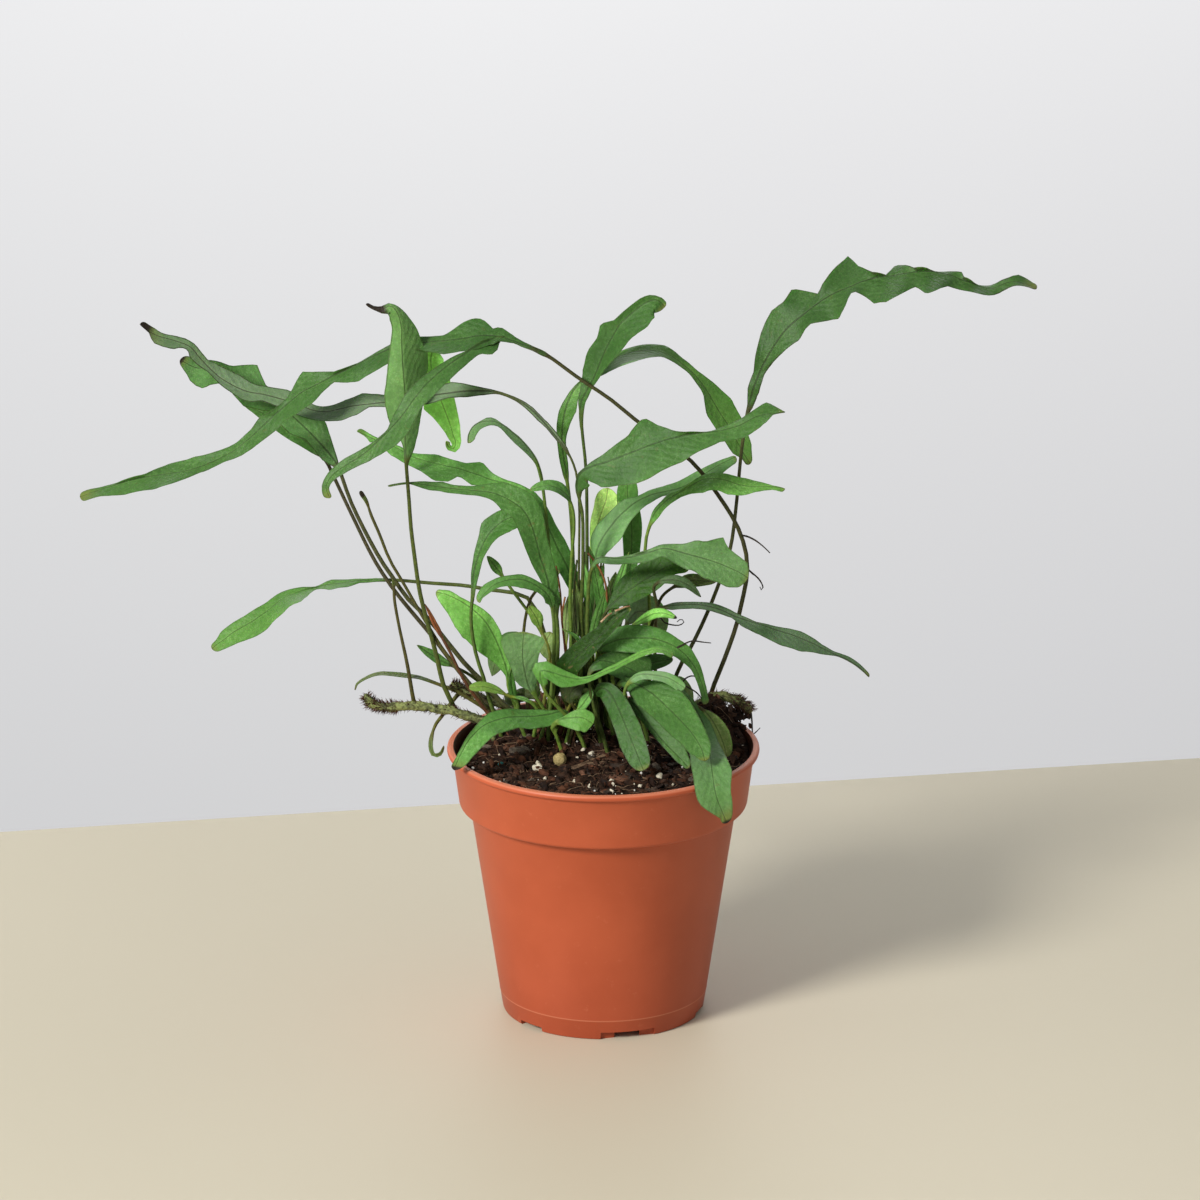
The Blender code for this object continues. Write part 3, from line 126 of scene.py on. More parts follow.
# The stones, the granule, the ball and the chips that the picture shows: where, then how large
STONES = (
    (538, 770, 2.6), (592, 753, 1.6), (612, 783, 1.7), (612, 792, 1.4), (660, 777, 1.8), (575, 781, 1.3),
    (500, 783, 1.2), (640, 786, 1.1), (696, 772, 1.2), (590, 787, 1.5), (545, 779, 1.1), (727, 762, 1.0),
    (538, 764, 1.4), (568, 745, 1.2), (583, 750, 1.3), (577, 757, 0.9), (613, 786, 1.0),
)
GRANULE = (501, 766, 1.6)
BALL = (560, 762, 3.3)
SEEN_CHIPS = (
    ((520, 752), (9, 5, 2.0)),
    ((618, 780), (10, 4.5, 1.8)),
    ((628, 777), (8, 4, 1.6)),
    ((655, 768), (7, 4, 1.5)),
)

# The picture plane that the fronds' courses are laid out on: a point is given by how far it lies to
# the right and down, in pixels of a 1200 pixel square seen from EYE, and by how far behind the pot's
# axis it is, in millimetres.
EYE = Vector((-1.6 * MM, -3045.4 * MM, 1191.0 * MM))
PITCH = math.radians(17.882)
FOCAL = 6626.8
PICTURE = 1200
CENTRE = 600.0
SENSOR = 36
AHEAD = Vector((0.0, math.cos(PITCH), -math.sin(PITCH)))
UPWARD = Vector((0.0, math.sin(PITCH), math.cos(PITCH)))
TO_EYE = -AHEAD

# The fronds' sections, in millimetres
BLADE_THICKNESS = 0.5
MIDRIB_THICKNESS = 1.1
MIDRIB_HALF_WIDTH = 0.9
STEM_RADIUS_LOW = 1.2
STEM_RADIUS_HIGH = 0.85
STEM_TAPERS_BY = 0.6
STEM_HALF_WIDTH = 0.87
WAVE_LAG = 0.37
ROOT_DEPTH = 9.0
BLADE_STEP = 2.0
BASE_TAPER = 9.0
STEM_STEP = 7.0
COURSE_SAMPLES = 400
CREASE = 1.35
PUCKER = 0.42
PUCKER_SIZE = 7.0
MARGIN_JITTER = 0.3
COLUMNS = (-1, -0.95, -0.84, -0.68, -0.5, -0.32, -0.13, 0, 0.13, 0.32, 0.5, 0.68, 0.84, 0.95, 1)

# The rhizomes' lumps, and the share of their length where the tip starts to round off
LUMPS = 6.5
LUMP_SHARE = 0.08
TIP_ROUNDS_FROM = 0.93
LEAST_TIP = 0.35

# Where each group's random pattern starts
SEED_STEP = 3.7
BRANCH_SEED = 91.0
SHOOT_SEED = 200.0
SHADED_SEED = 240.0

# The blades' greens, as linear colours
FRESH = (0.120, 0.300, 0.055)
MID = (0.085, 0.215, 0.045)
DEEP = (0.055, 0.150, 0.028)
DARK = (0.036, 0.100, 0.020)
SHADE = (0.030, 0.108, 0.003)
YELLOW = (0.190, 0.340, 0.060)
GREY = (0.130, 0.190, 0.095)
OLIVE = (0.085, 0.130, 0.032)
RUSTY = (0.230, 0.075, 0.022)
STALK_BROWN = (0.042, 0.030, 0.014)


class Frond(NamedTuple):
    """A frond's course over the picture plane, then its blade's form.

    root is where the stem enters the soil, (x, y) in millimetres, or None where it starts on a
    rhizome. stem and blade are the picture points, across and down in turn. depth holds distances
    behind the pot's axis, spaced evenly along the course. wide is the blade's width in millimetres,
    turn its facing along the blade in degrees from full face, peak the place of its widest point,
    and base and tip how slowly it widens and narrows. fold raises the edges, and wave is their
    swing in millimetres over waves swings. Where edges is given, it holds the outline's picture
    points on the left of the way the frond runs and then on its right, and the blade reaches to
    them instead.
    """

    name: str
    root: tuple
    stem: tuple
    blade: tuple
    depth: tuple
    wide: float
    turn: tuple = (20,)
    peak: float = 0.45
    base: float = 1.0
    tip: float = 0.8
    fold: float = 0.15
    wave: float = 0.0
    waves: float = 3.0
    edges: tuple = ()


FRONDS = (
    # The tall fronds at the right
    Frond("frond_right_wavy", (31, 42),
          (677, 673, 692, 645, 705, 618, 718, 586, 730, 550, 737, 498, 741, 455, 747, 414),
          (752, 394, 759, 374, 770, 353, 785, 331, 807, 312, 828, 297, 850, 287, 872, 279, 893, 276,
           922, 272, 948, 275, 969, 283, 991, 289, 1013, 282, 1037, 288),
          (44, 46, 44, 42, 40, 36, 30), 21, (-10, -25, -40, -50, -50, -50), fold=0.1, wave=2.4, waves=7.5,
          edges=(
              (748, 407, 748, 387, 753, 373, 756, 353, 761, 332, 770, 312, 782, 303, 790, 290, 803, 292,
               818, 294, 822, 283, 832, 268, 843, 257, 855, 266, 872, 272, 887, 275, 894, 264, 907, 265,
               922, 272, 938, 272, 957, 271, 963, 272, 964, 282, 975, 286, 992, 284, 1007, 278, 1019, 274,
               1035, 283),
              (753, 407, 759, 392, 765, 373, 777, 358, 788, 347, 800, 340, 807, 328, 813, 322, 828, 320,
               842, 318, 848, 307, 853, 293, 858, 291, 865, 295, 877, 304, 890, 303, 902, 295, 917, 287,
               927, 296, 935, 293, 947, 287, 958, 290, 968, 292, 990, 296, 1002, 292, 1013, 287,
               1028, 287, 1036, 290),
          )),
    Frond("frond_forked", None,
          (710, 697, 712, 690, 726, 655, 737, 623, 742, 601, 746, 583, 747, 560, 742, 538, 733, 518,
           716, 492, 702, 473, 690, 460, 637, 421, 610, 399, 580, 379, 540, 351, 520, 344),
          (500, 337, 482, 336, 460, 339, 443, 341, 420, 343, 400, 346, 384, 352, 341, 373, 320, 383,
           300, 394, 281, 410, 256, 433, 234, 451, 201, 467, 176, 473, 143, 478, 101, 490, 80, 497),
          (35, 34, 32, 31, 36, 43, 43, 38, 34, 30), 17, (45, 45, 45, 35, 45, 50, 45), fold=0.2, wave=1.5,
          waves=6,
          edges=(
              (542, 356, 533, 351, 523, 347, 515, 343, 507, 342, 499, 342, 496, 345, 480, 350, 460, 352,
               445, 355, 430, 352, 420, 350, 400, 358, 380, 369, 360, 382, 347, 383, 333, 383, 323, 393,
               315, 403, 300, 412, 287, 420, 273, 433, 260, 443, 243, 455, 227, 461, 217, 466, 200, 473,
               177, 482, 153, 490, 127, 495, 103, 496, 83, 502),
              (543, 355, 537, 349, 527, 343, 515, 337, 507, 331, 498, 326, 492, 329, 487, 324, 482, 320,
               475, 318, 468, 319, 460, 323, 452, 330, 444, 335, 432, 336, 420, 336, 400, 340, 384, 348,
               360, 365, 343, 372, 323, 372, 302, 371, 293, 388, 287, 398, 273, 410, 260, 417, 250, 430,
               237, 442, 220, 450, 193, 457, 170, 463, 147, 473, 132, 479, 117, 483, 100, 487, 87, 490),
          )),
    Frond("frond_centre_big", (2, 21),
          (583, 640, 583, 560, 582, 510, 577, 488),
          (580, 474, 591, 467, 610, 461, 633, 452, 656, 443, 678, 437, 694, 434, 714, 432, 739, 426,
           760, 416, 785, 412),
          (20, 16, 12, 6, 3, 2, 4), 25, (-15, -15, -25, -40, -50), fold=0.12, wave=1.4, waves=3.5,
          edges=(
              (577, 475, 583, 469, 597, 458, 610, 449, 628, 436, 638, 421, 643, 419, 657, 425, 673, 431,
               695, 434, 713, 431, 733, 422, 752, 412, 767, 402, 773, 405, 784, 411),
              (584, 478, 592, 484, 604, 487, 610, 487, 620, 485, 638, 483, 653, 477, 668, 468, 683, 462,
               697, 453, 720, 442, 743, 438, 760, 428, 767, 422, 773, 413, 784, 412),
          )),
    Frond("frond_right_rear", (6, 30),
          (598, 640, 595, 580),
          (598, 548, 610, 528, 625, 511, 640, 500, 656, 494, 681, 488, 699, 478, 718, 466, 736, 457),
          (27, 28, 32, 42, 50), 14, (-30, -30, -40), wave=0.8,
          edges=(
              (592, 550, 590, 538, 597, 525, 610, 512, 622, 500, 638, 496, 657, 488, 673, 483, 693, 473,
               707, 466, 723, 459, 736, 455),
              (604, 556, 612, 548, 622, 538, 630, 522, 640, 510, 650, 503, 663, 496, 683, 493, 703, 482,
               720, 475, 737, 462),
          )),
    Frond("frond_right_mid", (22, 28),
          (650, 640, 648, 575, 645, 548, 648, 531),
          (655, 513, 668, 500, 690, 487, 706, 479, 722, 480, 745, 486, 772, 487, 785, 489),
          (27, 27, 26, 23, 18), 13, (-40, -40, -35), wave=1.2, waves=3,
          edges=(
              (652, 512, 660, 502, 667, 495, 685, 489, 690, 483, 702, 475, 712, 472, 727, 474, 747, 478,
               760, 482, 777, 487, 785, 488),
              (656, 520, 660, 515, 672, 503, 683, 496, 693, 493, 707, 492, 717, 490, 728, 495, 743, 496,
               757, 492, 773, 490, 782, 492),
          )),
    Frond("frond_right_broad", (-2, 11),
          (588, 650, 588, 600, 591, 570),
          (597, 559, 620, 559, 645, 554, 665, 549, 690, 555, 715, 562, 738, 572, 748, 578),
          (10, 8, 4, -2, -6, -8), 20, (-65, -40, -15, -15), wave=1.2,
          edges=(
              (597, 558, 610, 557, 622, 556, 640, 552, 652, 548, 667, 544, 683, 544, 697, 540, 705, 542,
               723, 537, 727, 547, 737, 555, 747, 563, 750, 577),
              (598, 563, 610, 565, 627, 563, 640, 563, 650, 561, 663, 556, 673, 562, 687, 570, 693, 570,
               703, 578, 717, 582, 727, 587, 742, 588, 748, 583),
          )),
    Frond("frond_right_drooping", (20, 15),
          (625, 660, 636, 628, 650, 612),
          (673, 606, 707, 606, 737, 617, 773, 629, 807, 641, 833, 654, 855, 664, 869, 677),
          (18, 19, 17, 12, 8, 5, 4), 12, (-40, -35, -35), wave=0.5,
          edges=(
              (672, 603, 697, 602, 713, 603, 733, 611, 757, 622, 780, 627, 803, 632, 820, 643, 833, 651,
               850, 657, 863, 667),
              (672, 610, 697, 609, 717, 613, 733, 618, 743, 627, 760, 635, 780, 645, 800, 651, 820, 654,
               837, 656, 853, 663, 865, 673),
          )),
    # The tall fronds at the left
    Frond("frond_left_upright", None,
          (455, 709, 451, 701, 443, 684, 438, 662, 431, 635, 424, 610, 419, 588, 415, 560, 411, 528,
           409, 500, 407, 475),
          (406, 461, 405, 430, 405, 394, 403, 369, 402, 346, 401, 325, 397, 312, 390, 306, 382, 309,
           374, 308, 366, 304),
          (37, 37, 36, 34, 32, 34), 22, (10, 20, 20), fold=-0.45,
          edges=(
              (405, 460, 404, 450, 400, 440, 392, 430, 388, 420, 385, 407, 384, 395, 387, 377, 389, 355,
               391, 340, 392, 330, 390, 320, 386, 315, 380, 312, 374, 310, 367, 306),
              (409, 462, 414, 450, 418, 435, 422, 412, 424, 400, 428, 372, 427, 355, 422, 345, 417, 332,
               410, 320, 402, 310, 395, 305, 389, 303, 382, 306, 374, 306, 366, 302),
          )),
    Frond("frond_left_rear", (-35, 30),
          (505, 706, 485.7, 684.5, 467, 666, 447, 641.6, 428.6, 619, 407, 597.8, 394.9, 580.4, 379.6, 558,
           351.8, 504, 343, 480),
          (337, 464, 320, 443, 299, 422, 279, 405, 257, 389, 234, 376, 213, 368, 196, 368, 180, 360),
          (32, 40, 48, 57, 66, 72, 73), 20, (5, 10, 30, 30), wave=1.2,
          edges=(
              (330, 465, 322, 460, 305, 439, 290, 434, 281, 425, 270, 411, 262, 411, 252, 408, 243, 406,
               234, 396, 222, 383, 212, 385, 202, 389, 192, 383, 186, 374, 180, 365, 177, 359),
              (339, 467, 336, 455, 330, 435, 325, 421, 300, 400, 278, 392, 266, 386, 261, 375, 258, 365,
               247, 365, 230, 366, 217, 361, 205, 360, 196, 358, 187, 356, 181, 354),
          )),
    Frond("frond_left_low_rear", (-41, 36),
          (500, 716, 470, 684.5, 448, 657, 431.6, 635.5, 411, 611, 394.9, 591, 375.5, 562, 351, 513,
           333, 475),
          (326, 461, 312, 447, 296, 434, 278, 423, 260, 412, 243, 404),
          (38, 44, 54, 66, 77, 84), 9, (10, 30), tip=0.6, wave=0.6),
    Frond("frond_left_twisted", (-13, 22),
          (578, 640, 579, 560, 579, 500, 576, 472, 567, 451, 556, 437, 540, 418, 524, 404),
          (500, 393, 473, 391, 443, 394, 400, 401, 356, 406, 321, 412, 295, 404, 270, 396, 245, 391,
           222, 379, 207, 366, 199, 357, 190, 347, 175, 341, 155, 335, 140, 324),
          (23, 25, 28, 36, 45, 52, 57, 59, 55), 15, (10, 25, 45, 40, 25, 25, 40), wave=0.9, waves=4,
          edges=(
              (566, 453, 557, 441, 547, 429, 537, 420, 527, 410, 517, 402, 507, 397, 497, 394, 485, 395,
               470, 397, 450, 398, 430, 404, 400, 407, 370, 407, 360, 415, 345, 420, 325, 421, 305, 418,
               285, 410, 262, 401, 250, 402, 242, 400, 230, 392, 222, 386, 215, 379, 207, 371, 197, 364,
               189, 357, 187, 350, 180, 347, 172, 349, 162, 347, 152, 342, 149, 332, 144, 326),
              (567, 447, 557, 433, 550, 425, 542, 417, 533, 408, 523, 401, 513, 396, 507, 394, 497, 391,
               485, 388, 470, 385, 460, 383, 450, 382, 430, 388, 400, 393, 385, 395, 360, 393, 350, 398,
               335, 404, 315, 405, 300, 398, 288, 390, 270, 387, 257, 385, 240, 375, 225, 368, 214, 362,
               208, 360, 200, 350, 190, 341, 180, 337, 165, 334, 155, 328, 145, 322),
          )),
    Frond("frond_left_mid", (-4, 31),
          (584, 640, 582, 615),
          (577, 592, 567, 567, 556, 545, 547, 525, 538, 506, 520, 489, 495, 481, 477, 475, 456, 468,
           437, 464, 412, 457, 398, 449, 373, 439, 357, 431),
          (31, 34, 39, 45, 48, 50), 16, (20, 30, 40, 40), wave=1.2, waves=2.5,
          edges=(
              (571, 594, 560, 573, 552, 563, 544, 548, 536, 528, 527, 510, 512, 496, 492, 488, 472, 485,
               465, 480, 459, 476, 450, 482, 435, 481, 422, 472, 412, 467, 402, 462, 390, 455, 378, 441,
               370, 443, 365, 435),
              (584, 592, 577, 570, 571, 552, 565, 540, 557, 527, 547, 507, 535, 492, 525, 487, 505, 480,
               492, 472, 482, 462, 465, 463, 455, 460, 437, 454, 425, 454, 412, 453, 402, 447, 390, 443,
               372, 435, 364, 430),
          )),
    Frond("frond_pale_needle_tip", (-27, 14),
          (558, 650, 556, 612),
          (550, 591, 546, 573, 541, 559, 536, 540, 530, 522, 522, 509, 509, 500, 492, 493, 475, 491,
           456, 489, 432, 486, 411, 483, 388, 486),
          (14, 16, 19, 25, 32, 40), 16, (15, 20, 40, 40), wave=0.6,
          edges=(
              (552, 606, 547, 595, 535, 570, 527, 552, 520, 535, 515, 522, 502, 510, 495, 502, 480, 496,
               455, 494, 440, 491, 430, 490, 417, 486, 410, 484),
              (561, 600, 556, 570, 552, 555, 547, 537, 545, 525, 541, 509, 533, 495, 523, 489, 505, 483,
               490, 483, 472, 486, 455, 485, 442, 482, 425, 481, 412, 482, 395, 484),
          )),
    Frond("frond_left_long_low", (-24, 39),
          (548, 655, 544, 632, 537, 613, 530, 600, 519, 594, 484, 589, 469, 586, 430, 583),
          (392, 580, 364, 581, 345, 583, 330, 585, 316, 588, 300, 592, 285, 598, 268, 611, 250, 623,
           233, 633, 220, 643, 212, 649),
          (40, 46, 53, 60, 61, 55, 48), 14, (60, 60, 75, 35, 30), wave=0.5,
          edges=(
              (392, 581, 372, 582, 360, 583, 350, 587, 340, 588, 330, 590, 317, 589, 310, 593, 300, 602,
               287, 611, 275, 621, 267, 630, 257, 636, 245, 641, 232, 646, 222, 650),
              (392, 579, 375, 578, 362, 579, 350, 579, 330, 580, 322, 584, 315, 587, 302, 587, 282, 591,
               270, 599, 260, 606, 250, 612, 237, 620, 227, 627, 220, 632, 216, 640, 212, 644),
          )),
    Frond("frond_crozier", (-44, 27),
          (484, 705, 472.4, 687.6, 462, 675, 441.8, 647.8, 423.5, 618, 403, 582.4, 389.8, 560,
           379.4, 534),
          (371, 514.6, 366.7, 502, 363, 496, 360, 491),
          (29, 37.5, 42, 45, 47), 2.2, (20,), peak=0.8, tip=0.3, fold=0.0),
    Frond("frond_broken_stipe", None,
          (415, 707, 413.5, 700.5, 407, 663, 399, 626, 394.5, 600),
          (394, 590, 393.5, 579),
          (38, 41, 43), 2.0, (20,), tip=0.3, fold=0.0),
    Frond("frond_rust_stub", (-48, 22),
          (489, 715, 487, 712, 465.3, 682.4, 450, 652),
          (444, 641, 437.8, 629.4, 425, 604),
          (23, 27, 33), 2.6, (20,), peak=0.3, tip=0.6, fold=0.0),
    # The fronds that rise from the middle
    Frond("frond_centre_upright", (-6, 26),
          (587, 640, 587, 538, 586, 470, 582, 429, 581, 405),
          (587, 391, 595, 376, 604, 354, 612, 338, 621, 324, 633, 313, 646, 303, 657, 300, 665, 307),
          (27, 31, 36, 38, 36, 32), 16, (-30, -30, -20), fold=0.35,
          edges=(
              (580, 427, 579, 410, 580, 393, 581, 380, 582, 371, 585, 359, 589, 349, 597, 338, 600, 325,
               615, 320, 625, 310, 638, 300, 648, 295, 658, 296, 667, 303),
              (583, 424, 584, 410, 588, 398, 593, 387, 600, 377, 605, 368, 615, 357, 625, 345, 638, 333,
               650, 325, 655, 318, 661, 315),
          )),
    Frond("frond_centre_arch", (-12, 31),
          (574, 640, 573, 560, 571, 515, 567, 480),
          (564, 460, 562, 437, 565, 412, 573, 392, 588, 376, 608, 363, 629, 354, 650, 351, 670, 356,
           690, 371, 706, 390, 718, 410, 728, 425, 740, 447, 750, 464),
          (34, 38, 43, 48, 53, 57), 15, (30, -20, -68, -55, -15, -20), wave=0.5,
          edges=(
              (563, 475, 559, 457, 557, 440, 557, 424, 560, 408, 567, 396, 574, 387, 581, 380, 600, 362,
               618, 352, 642, 345, 667, 346, 682, 357, 698, 372, 718, 387, 732, 400, 740, 415, 747, 430,
               752, 445, 752, 462),
              (569, 475, 568, 463, 566, 449, 566, 438, 570, 425, 577, 410, 579, 398, 583, 388, 592, 381,
               612, 371, 635, 363, 658, 357, 675, 363, 688, 373, 702, 393, 705, 412, 715, 428, 732, 452,
               742, 458),
          )),
    Frond("frond_thin_arch", (-23, 20),
          (556, 640, 550, 560, 545, 505),
          (542, 483, 537, 462, 529, 449, 516, 436, 500, 424, 487, 421, 477, 424, 470, 432, 468, 443),
          (22, 24, 28, 30, 30), 7, (40, 40, 40, 30), base=0.6, tip=0.5,
          edges=(
              (539, 475, 536, 465, 530, 457, 522, 450, 513, 442, 505, 433, 498, 427, 492, 425, 485, 427,
               479, 432, 475, 438, 472, 442),
              (543, 478, 540, 467, 535, 457, 528, 448, 520, 440, 512, 432, 503, 425, 495, 419, 488, 417,
               480, 421, 473, 427, 468, 434, 467, 442),
          )),
    Frond("frond_mid_curling", (-17, 17),
          (571, 640, 570, 600, 572, 553, 574, 522),
          (571, 504, 562, 491, 548, 486, 530, 490),
          (15, 14, 12, 10), 9, (55, 50), tip=0.5),
    Frond("frond_upright_yellow", (-2, 38),
          (592, 640, 592, 580),
          (593, 560, 595, 540, 599, 520, 606, 500, 608, 488),
          (39, 40, 41), 11, (10, 0), peak=0.7, tip=0.4,
          edges=(
              (590, 560, 590, 545, 590, 530, 591, 518, 594, 507, 595, 499, 597, 493),
              (598, 560, 604, 547, 610, 533, 615, 518, 619, 507, 619, 498, 617, 492),
          )),
    Frond("frond_upright_right", (14, 36),
          (617, 640),
          (626, 605, 630, 575, 632, 545, 631, 520, 628, 500, 627, 476),
          (37, 40, 41), 9.5, (-45, -20, 15), peak=0.65, tip=0.5,
          edges=(
              (623, 605, 624, 585, 624, 570, 623, 545, 622, 531, 619, 515, 617, 500, 617, 490, 619, 482),
              (629, 605, 633, 580, 638, 563, 641, 540, 642, 525, 640, 512, 638, 500, 638, 490, 636, 482),
          )),
    Frond("frond_small_pale", (4, 38),
          (604, 630),
          (606, 612, 608, 600, 612, 586, 616, 572),
          (36, 31), 4.5, (0, 0), tip=0.6),
    Frond("frond_left_shiny", (-50, 16),
          (488, 695, 484, 679, 477, 658, 473, 640, 471, 620),
          (472, 600, 475, 570, 481, 550, 490, 533, 503, 521, 518, 515, 536, 506),
          (16, 17, 19, 25, 29), 8.5, (-30, -30, -20), fold=0.35,
          edges=(
              (471, 600, 471, 590, 472, 565, 475, 550, 479, 535, 482, 522, 490, 516, 500, 510, 518, 505,
               534, 502),
              (474, 600, 476, 588, 480, 572, 483, 560, 490, 547, 500, 536, 510, 532, 519, 527, 534, 511),
          )),
    Frond("frond_low_arch", (-27, 7),
          (554, 650, 553, 615),
          (548, 596, 536, 586, 523, 580, 510, 580, 496, 584, 486, 592, 478, 602),
          (8, 12, 12, 10), 7, (40, 40),
          edges=(
              (552, 606, 545, 602, 537, 592, 520, 588, 510, 586, 492, 591, 482, 598, 479, 605),
              (556, 600, 550, 590, 537, 581, 522, 574, 512, 575, 492, 580, 482, 586, 476, 596),
          )),
    Frond("frond_thin_stalked", (-28, 26),
          (551, 655, 543, 636, 534, 620, 524, 606, 512, 590),
          (503, 577, 495, 566, 487, 556),
          (25, 27, 29), 5, (15,), tip=0.7),
    Frond("frond_small_olive", (-31, 19),
          (550, 655, 546, 640),
          (541, 629, 536, 617, 529, 606),
          (20, 21), 6.5, (15,), tip=0.5),
    Frond("frond_thin_hooked", (-37, 28),
          (527, 690, 523, 650, 525, 620, 530, 600, 537, 590),
          (545, 583, 552, 577, 560, 570),
          (31, 32, 33, 32, 30, 22, 19), 3.4, (0,), tip=0.5),
    # The low fronds at the left
    Frond("frond_left_broad", (-38, 20),
          (522, 720, 513, 700, 508, 684),
          (508, 675, 502, 655, 495, 638, 484, 620, 468, 606, 450, 596, 436, 592),
          (21, 24, 28, 32), 14.5, (15, 15), wave=0.8,
          edges=(
              (505, 675, 497, 665, 480, 652, 472, 645, 462, 637, 455, 627, 450, 617, 442, 605, 436, 597),
              (513, 680, 510, 662, 505, 645, 500, 630, 492, 617, 480, 607, 470, 602, 460, 597, 451, 591,
               442, 590),
          )),
    Frond("frond_paddle", (-31, 6),
          (546, 715, 538, 700),
          (530, 689, 526, 676, 523, 660, 523, 645, 524, 632),
          (8, 4, -2, -6), 21, (0, 0), fold=0.1, wave=0.4,
          edges=(
              (531, 690, 520, 686, 514, 679, 512, 670, 508, 660, 504, 650, 501, 641, 502, 635),
              (536, 690, 537, 680, 536, 670, 538, 660, 540, 650, 544, 643, 548, 637, 547, 634),
          )),
    Frond("frond_small_bright", (-20, 11),
          (550, 715, 538, 705, 526, 700),
          (509, 696, 498, 691, 484, 687, 469, 688),
          (12, 10, 7), 6.5, (40, 40), peak=0.7, tip=0.4),
    Frond("frond_left_small", (-42, 51),
          (505, 710, 485, 687, 470, 675),
          (455, 667, 441, 661, 427, 652, 417, 645),
          (51, 50, 47, 45), 5.5, (30, 30), tip=0.7),
    Frond("frond_left_narrow", (-52, 42),
          (484, 708, 470, 699, 456, 691),
          (443, 686, 420, 678, 397, 675, 380, 674, 369, 677, 357, 684, 355, 690),
          (42, 43, 45, 46), 4.5, (60, 60), base=0.7, tip=0.5),
    Frond("frond_left_curl", None,
          (462, 690, 455, 698, 448, 707, 442, 716),
          (436, 724, 432, 735, 431, 747, 434, 755, 440, 754, 444, 746),
          (46, 43, 38, 32, 28, 24), 2.6, (30,), tip=0.4),
    Frond("frond_front_strap_left", (-12, 9),
          (566, 728, 572, 717),
          (564, 712, 547, 715, 526, 717, 507, 718, 487, 724, 473, 736, 462, 752, 454, 770),
          (7, 2, -6, -17, -30, -42), 14, (45, 45, 40, 25, 15), wave=0.8,
          edges=(
              (562, 721, 555, 723, 542, 727, 525, 729, 512, 728, 502, 732, 490, 740, 480, 750, 467, 765,
               457, 773),
              (566, 710, 555, 710, 540, 709, 520, 709, 502, 709, 492, 712, 482, 720, 475, 727, 467, 737,
               460, 750, 452, 765),
          )),
    Frond("frond_front_rounded", (-20, -4),
          (556, 735, 552, 727),
          (557, 721, 570, 718, 583, 718, 593, 724),
          (-6, -9, -12, -12), 11, (-10, -10),
          edges=(
              (560, 719, 566, 715, 575, 710, 585, 709, 591, 712),
              (556, 725, 560, 730, 568, 732, 573, 729, 578, 731, 585, 733, 592, 728),
          )),
    # The low fronds in front and at the right
    Frond("frond_dark_spread", (9, 14),
          (597, 640),
          (606, 612, 617, 600, 634, 587, 653, 575, 673, 565, 689, 569),
          (14, 13, 12), 16, (-20, -20), peak=0.5, tip=0.5, wave=0.8),
    Frond("frond_olive_right", (27, 34),
          (655, 640, 660, 600),
          (672, 588, 690, 581, 716, 582),
          (33, 29, 25), 7, (-20,), tip=0.7),
    Frond("frond_grey_right", (19, 17),
          (641, 650, 657, 612),
          (655, 585, 672, 580, 688, 585, 701, 597),
          (17, 15, 11, 5, 2, 0, 0), 6, (-45, -30), tip=0.7),
    Frond("frond_bright_tip", (10, 8),
          (612, 655),
          (628, 630, 642, 620, 660, 613, 677, 618),
          (13, 13, 12, 4, 1), 5.5, (-20, -30), peak=0.6, tip=0.5),
    Frond("frond_dark_folded", (-8, 14),
          (562, 695),
          (567, 668, 583, 651, 600, 636, 616, 621, 631, 608),
          (7, 2, -1, -2), 14, (-20, -20), peak=0.45, tip=0.6, fold=0.3,
          edges=(
              (556, 664, 565, 652, 575, 643, 587, 634, 598, 627, 602, 621, 608, 615, 617, 610, 628, 606),
              (570, 676, 579, 673, 588, 661, 597, 651, 606, 640, 615, 630, 624, 620, 631, 611),
          )),
    Frond("frond_broad_arch", (5, 10),
          (598, 668),
          (600, 650, 615, 641, 635, 638, 658, 640, 680, 650, 694, 666, 702, 685, 706, 704),
          (9, 7, 5, 3, 2), 13, (-15, -25, -40),
          edges=(
              (603, 640, 615, 628, 627, 625, 650, 626, 665, 631, 680, 640, 690, 647, 700, 665, 705, 683),
              (597, 655, 607, 652, 625, 652, 640, 653, 655, 652, 668, 654, 680, 660, 690, 668, 697, 682,
               702, 700),
          )),
    Frond("frond_bright_edge", (-9, 0),
          (572, 722, 557, 706, 546, 693),
          (541, 671, 553, 673, 566, 677, 584, 679, 602, 673, 625, 662, 645, 652, 660, 650, 673, 656),
          (-2, -5, -8, -11, -11), 11, (-20, -40, -60, -50),
          edges=(
              (537, 661, 548, 662, 560, 668, 572, 673, 581, 677, 592, 675, 610, 666, 630, 656, 650, 648,
               662, 646),
              (536, 671, 548, 681, 560, 687, 571, 687, 582, 684, 592, 681, 610, 672, 630, 662, 650, 654,
               664, 654),
          )),
    Frond("frond_front_strap_mid", (-1, 3),
          (592, 700),
          (602, 688, 609, 692, 617, 705, 624, 721, 631, 739, 638, 756, 644, 771),
          (0, -8, -20, -30, -36), 13.5, (15, 15), wave=0.5,
          edges=(
              (606, 682, 612, 684, 625, 697, 635, 715, 642, 730, 647, 745, 651, 762),
              (588, 686, 592, 696, 598, 707, 606, 722, 612, 736, 622, 751, 630, 765, 641, 775),
          )),
    Frond("frond_front_bright", (9, 2),
          (612, 700),
          (622, 682, 636, 684, 650, 692, 665, 705, 680, 720, 694, 736, 702, 750, 705, 761),
          (2, -4, -14, -28, -44, -56), 16, (-20, -15, -10), wave=0.6,
          edges=(
              (625, 677, 645, 680, 665, 682, 680, 690, 690, 702, 700, 720, 707, 735, 711, 745, 710, 755),
              (617, 683, 625, 695, 640, 707, 652, 717, 665, 730, 677, 742, 690, 755, 701, 762),
          )),
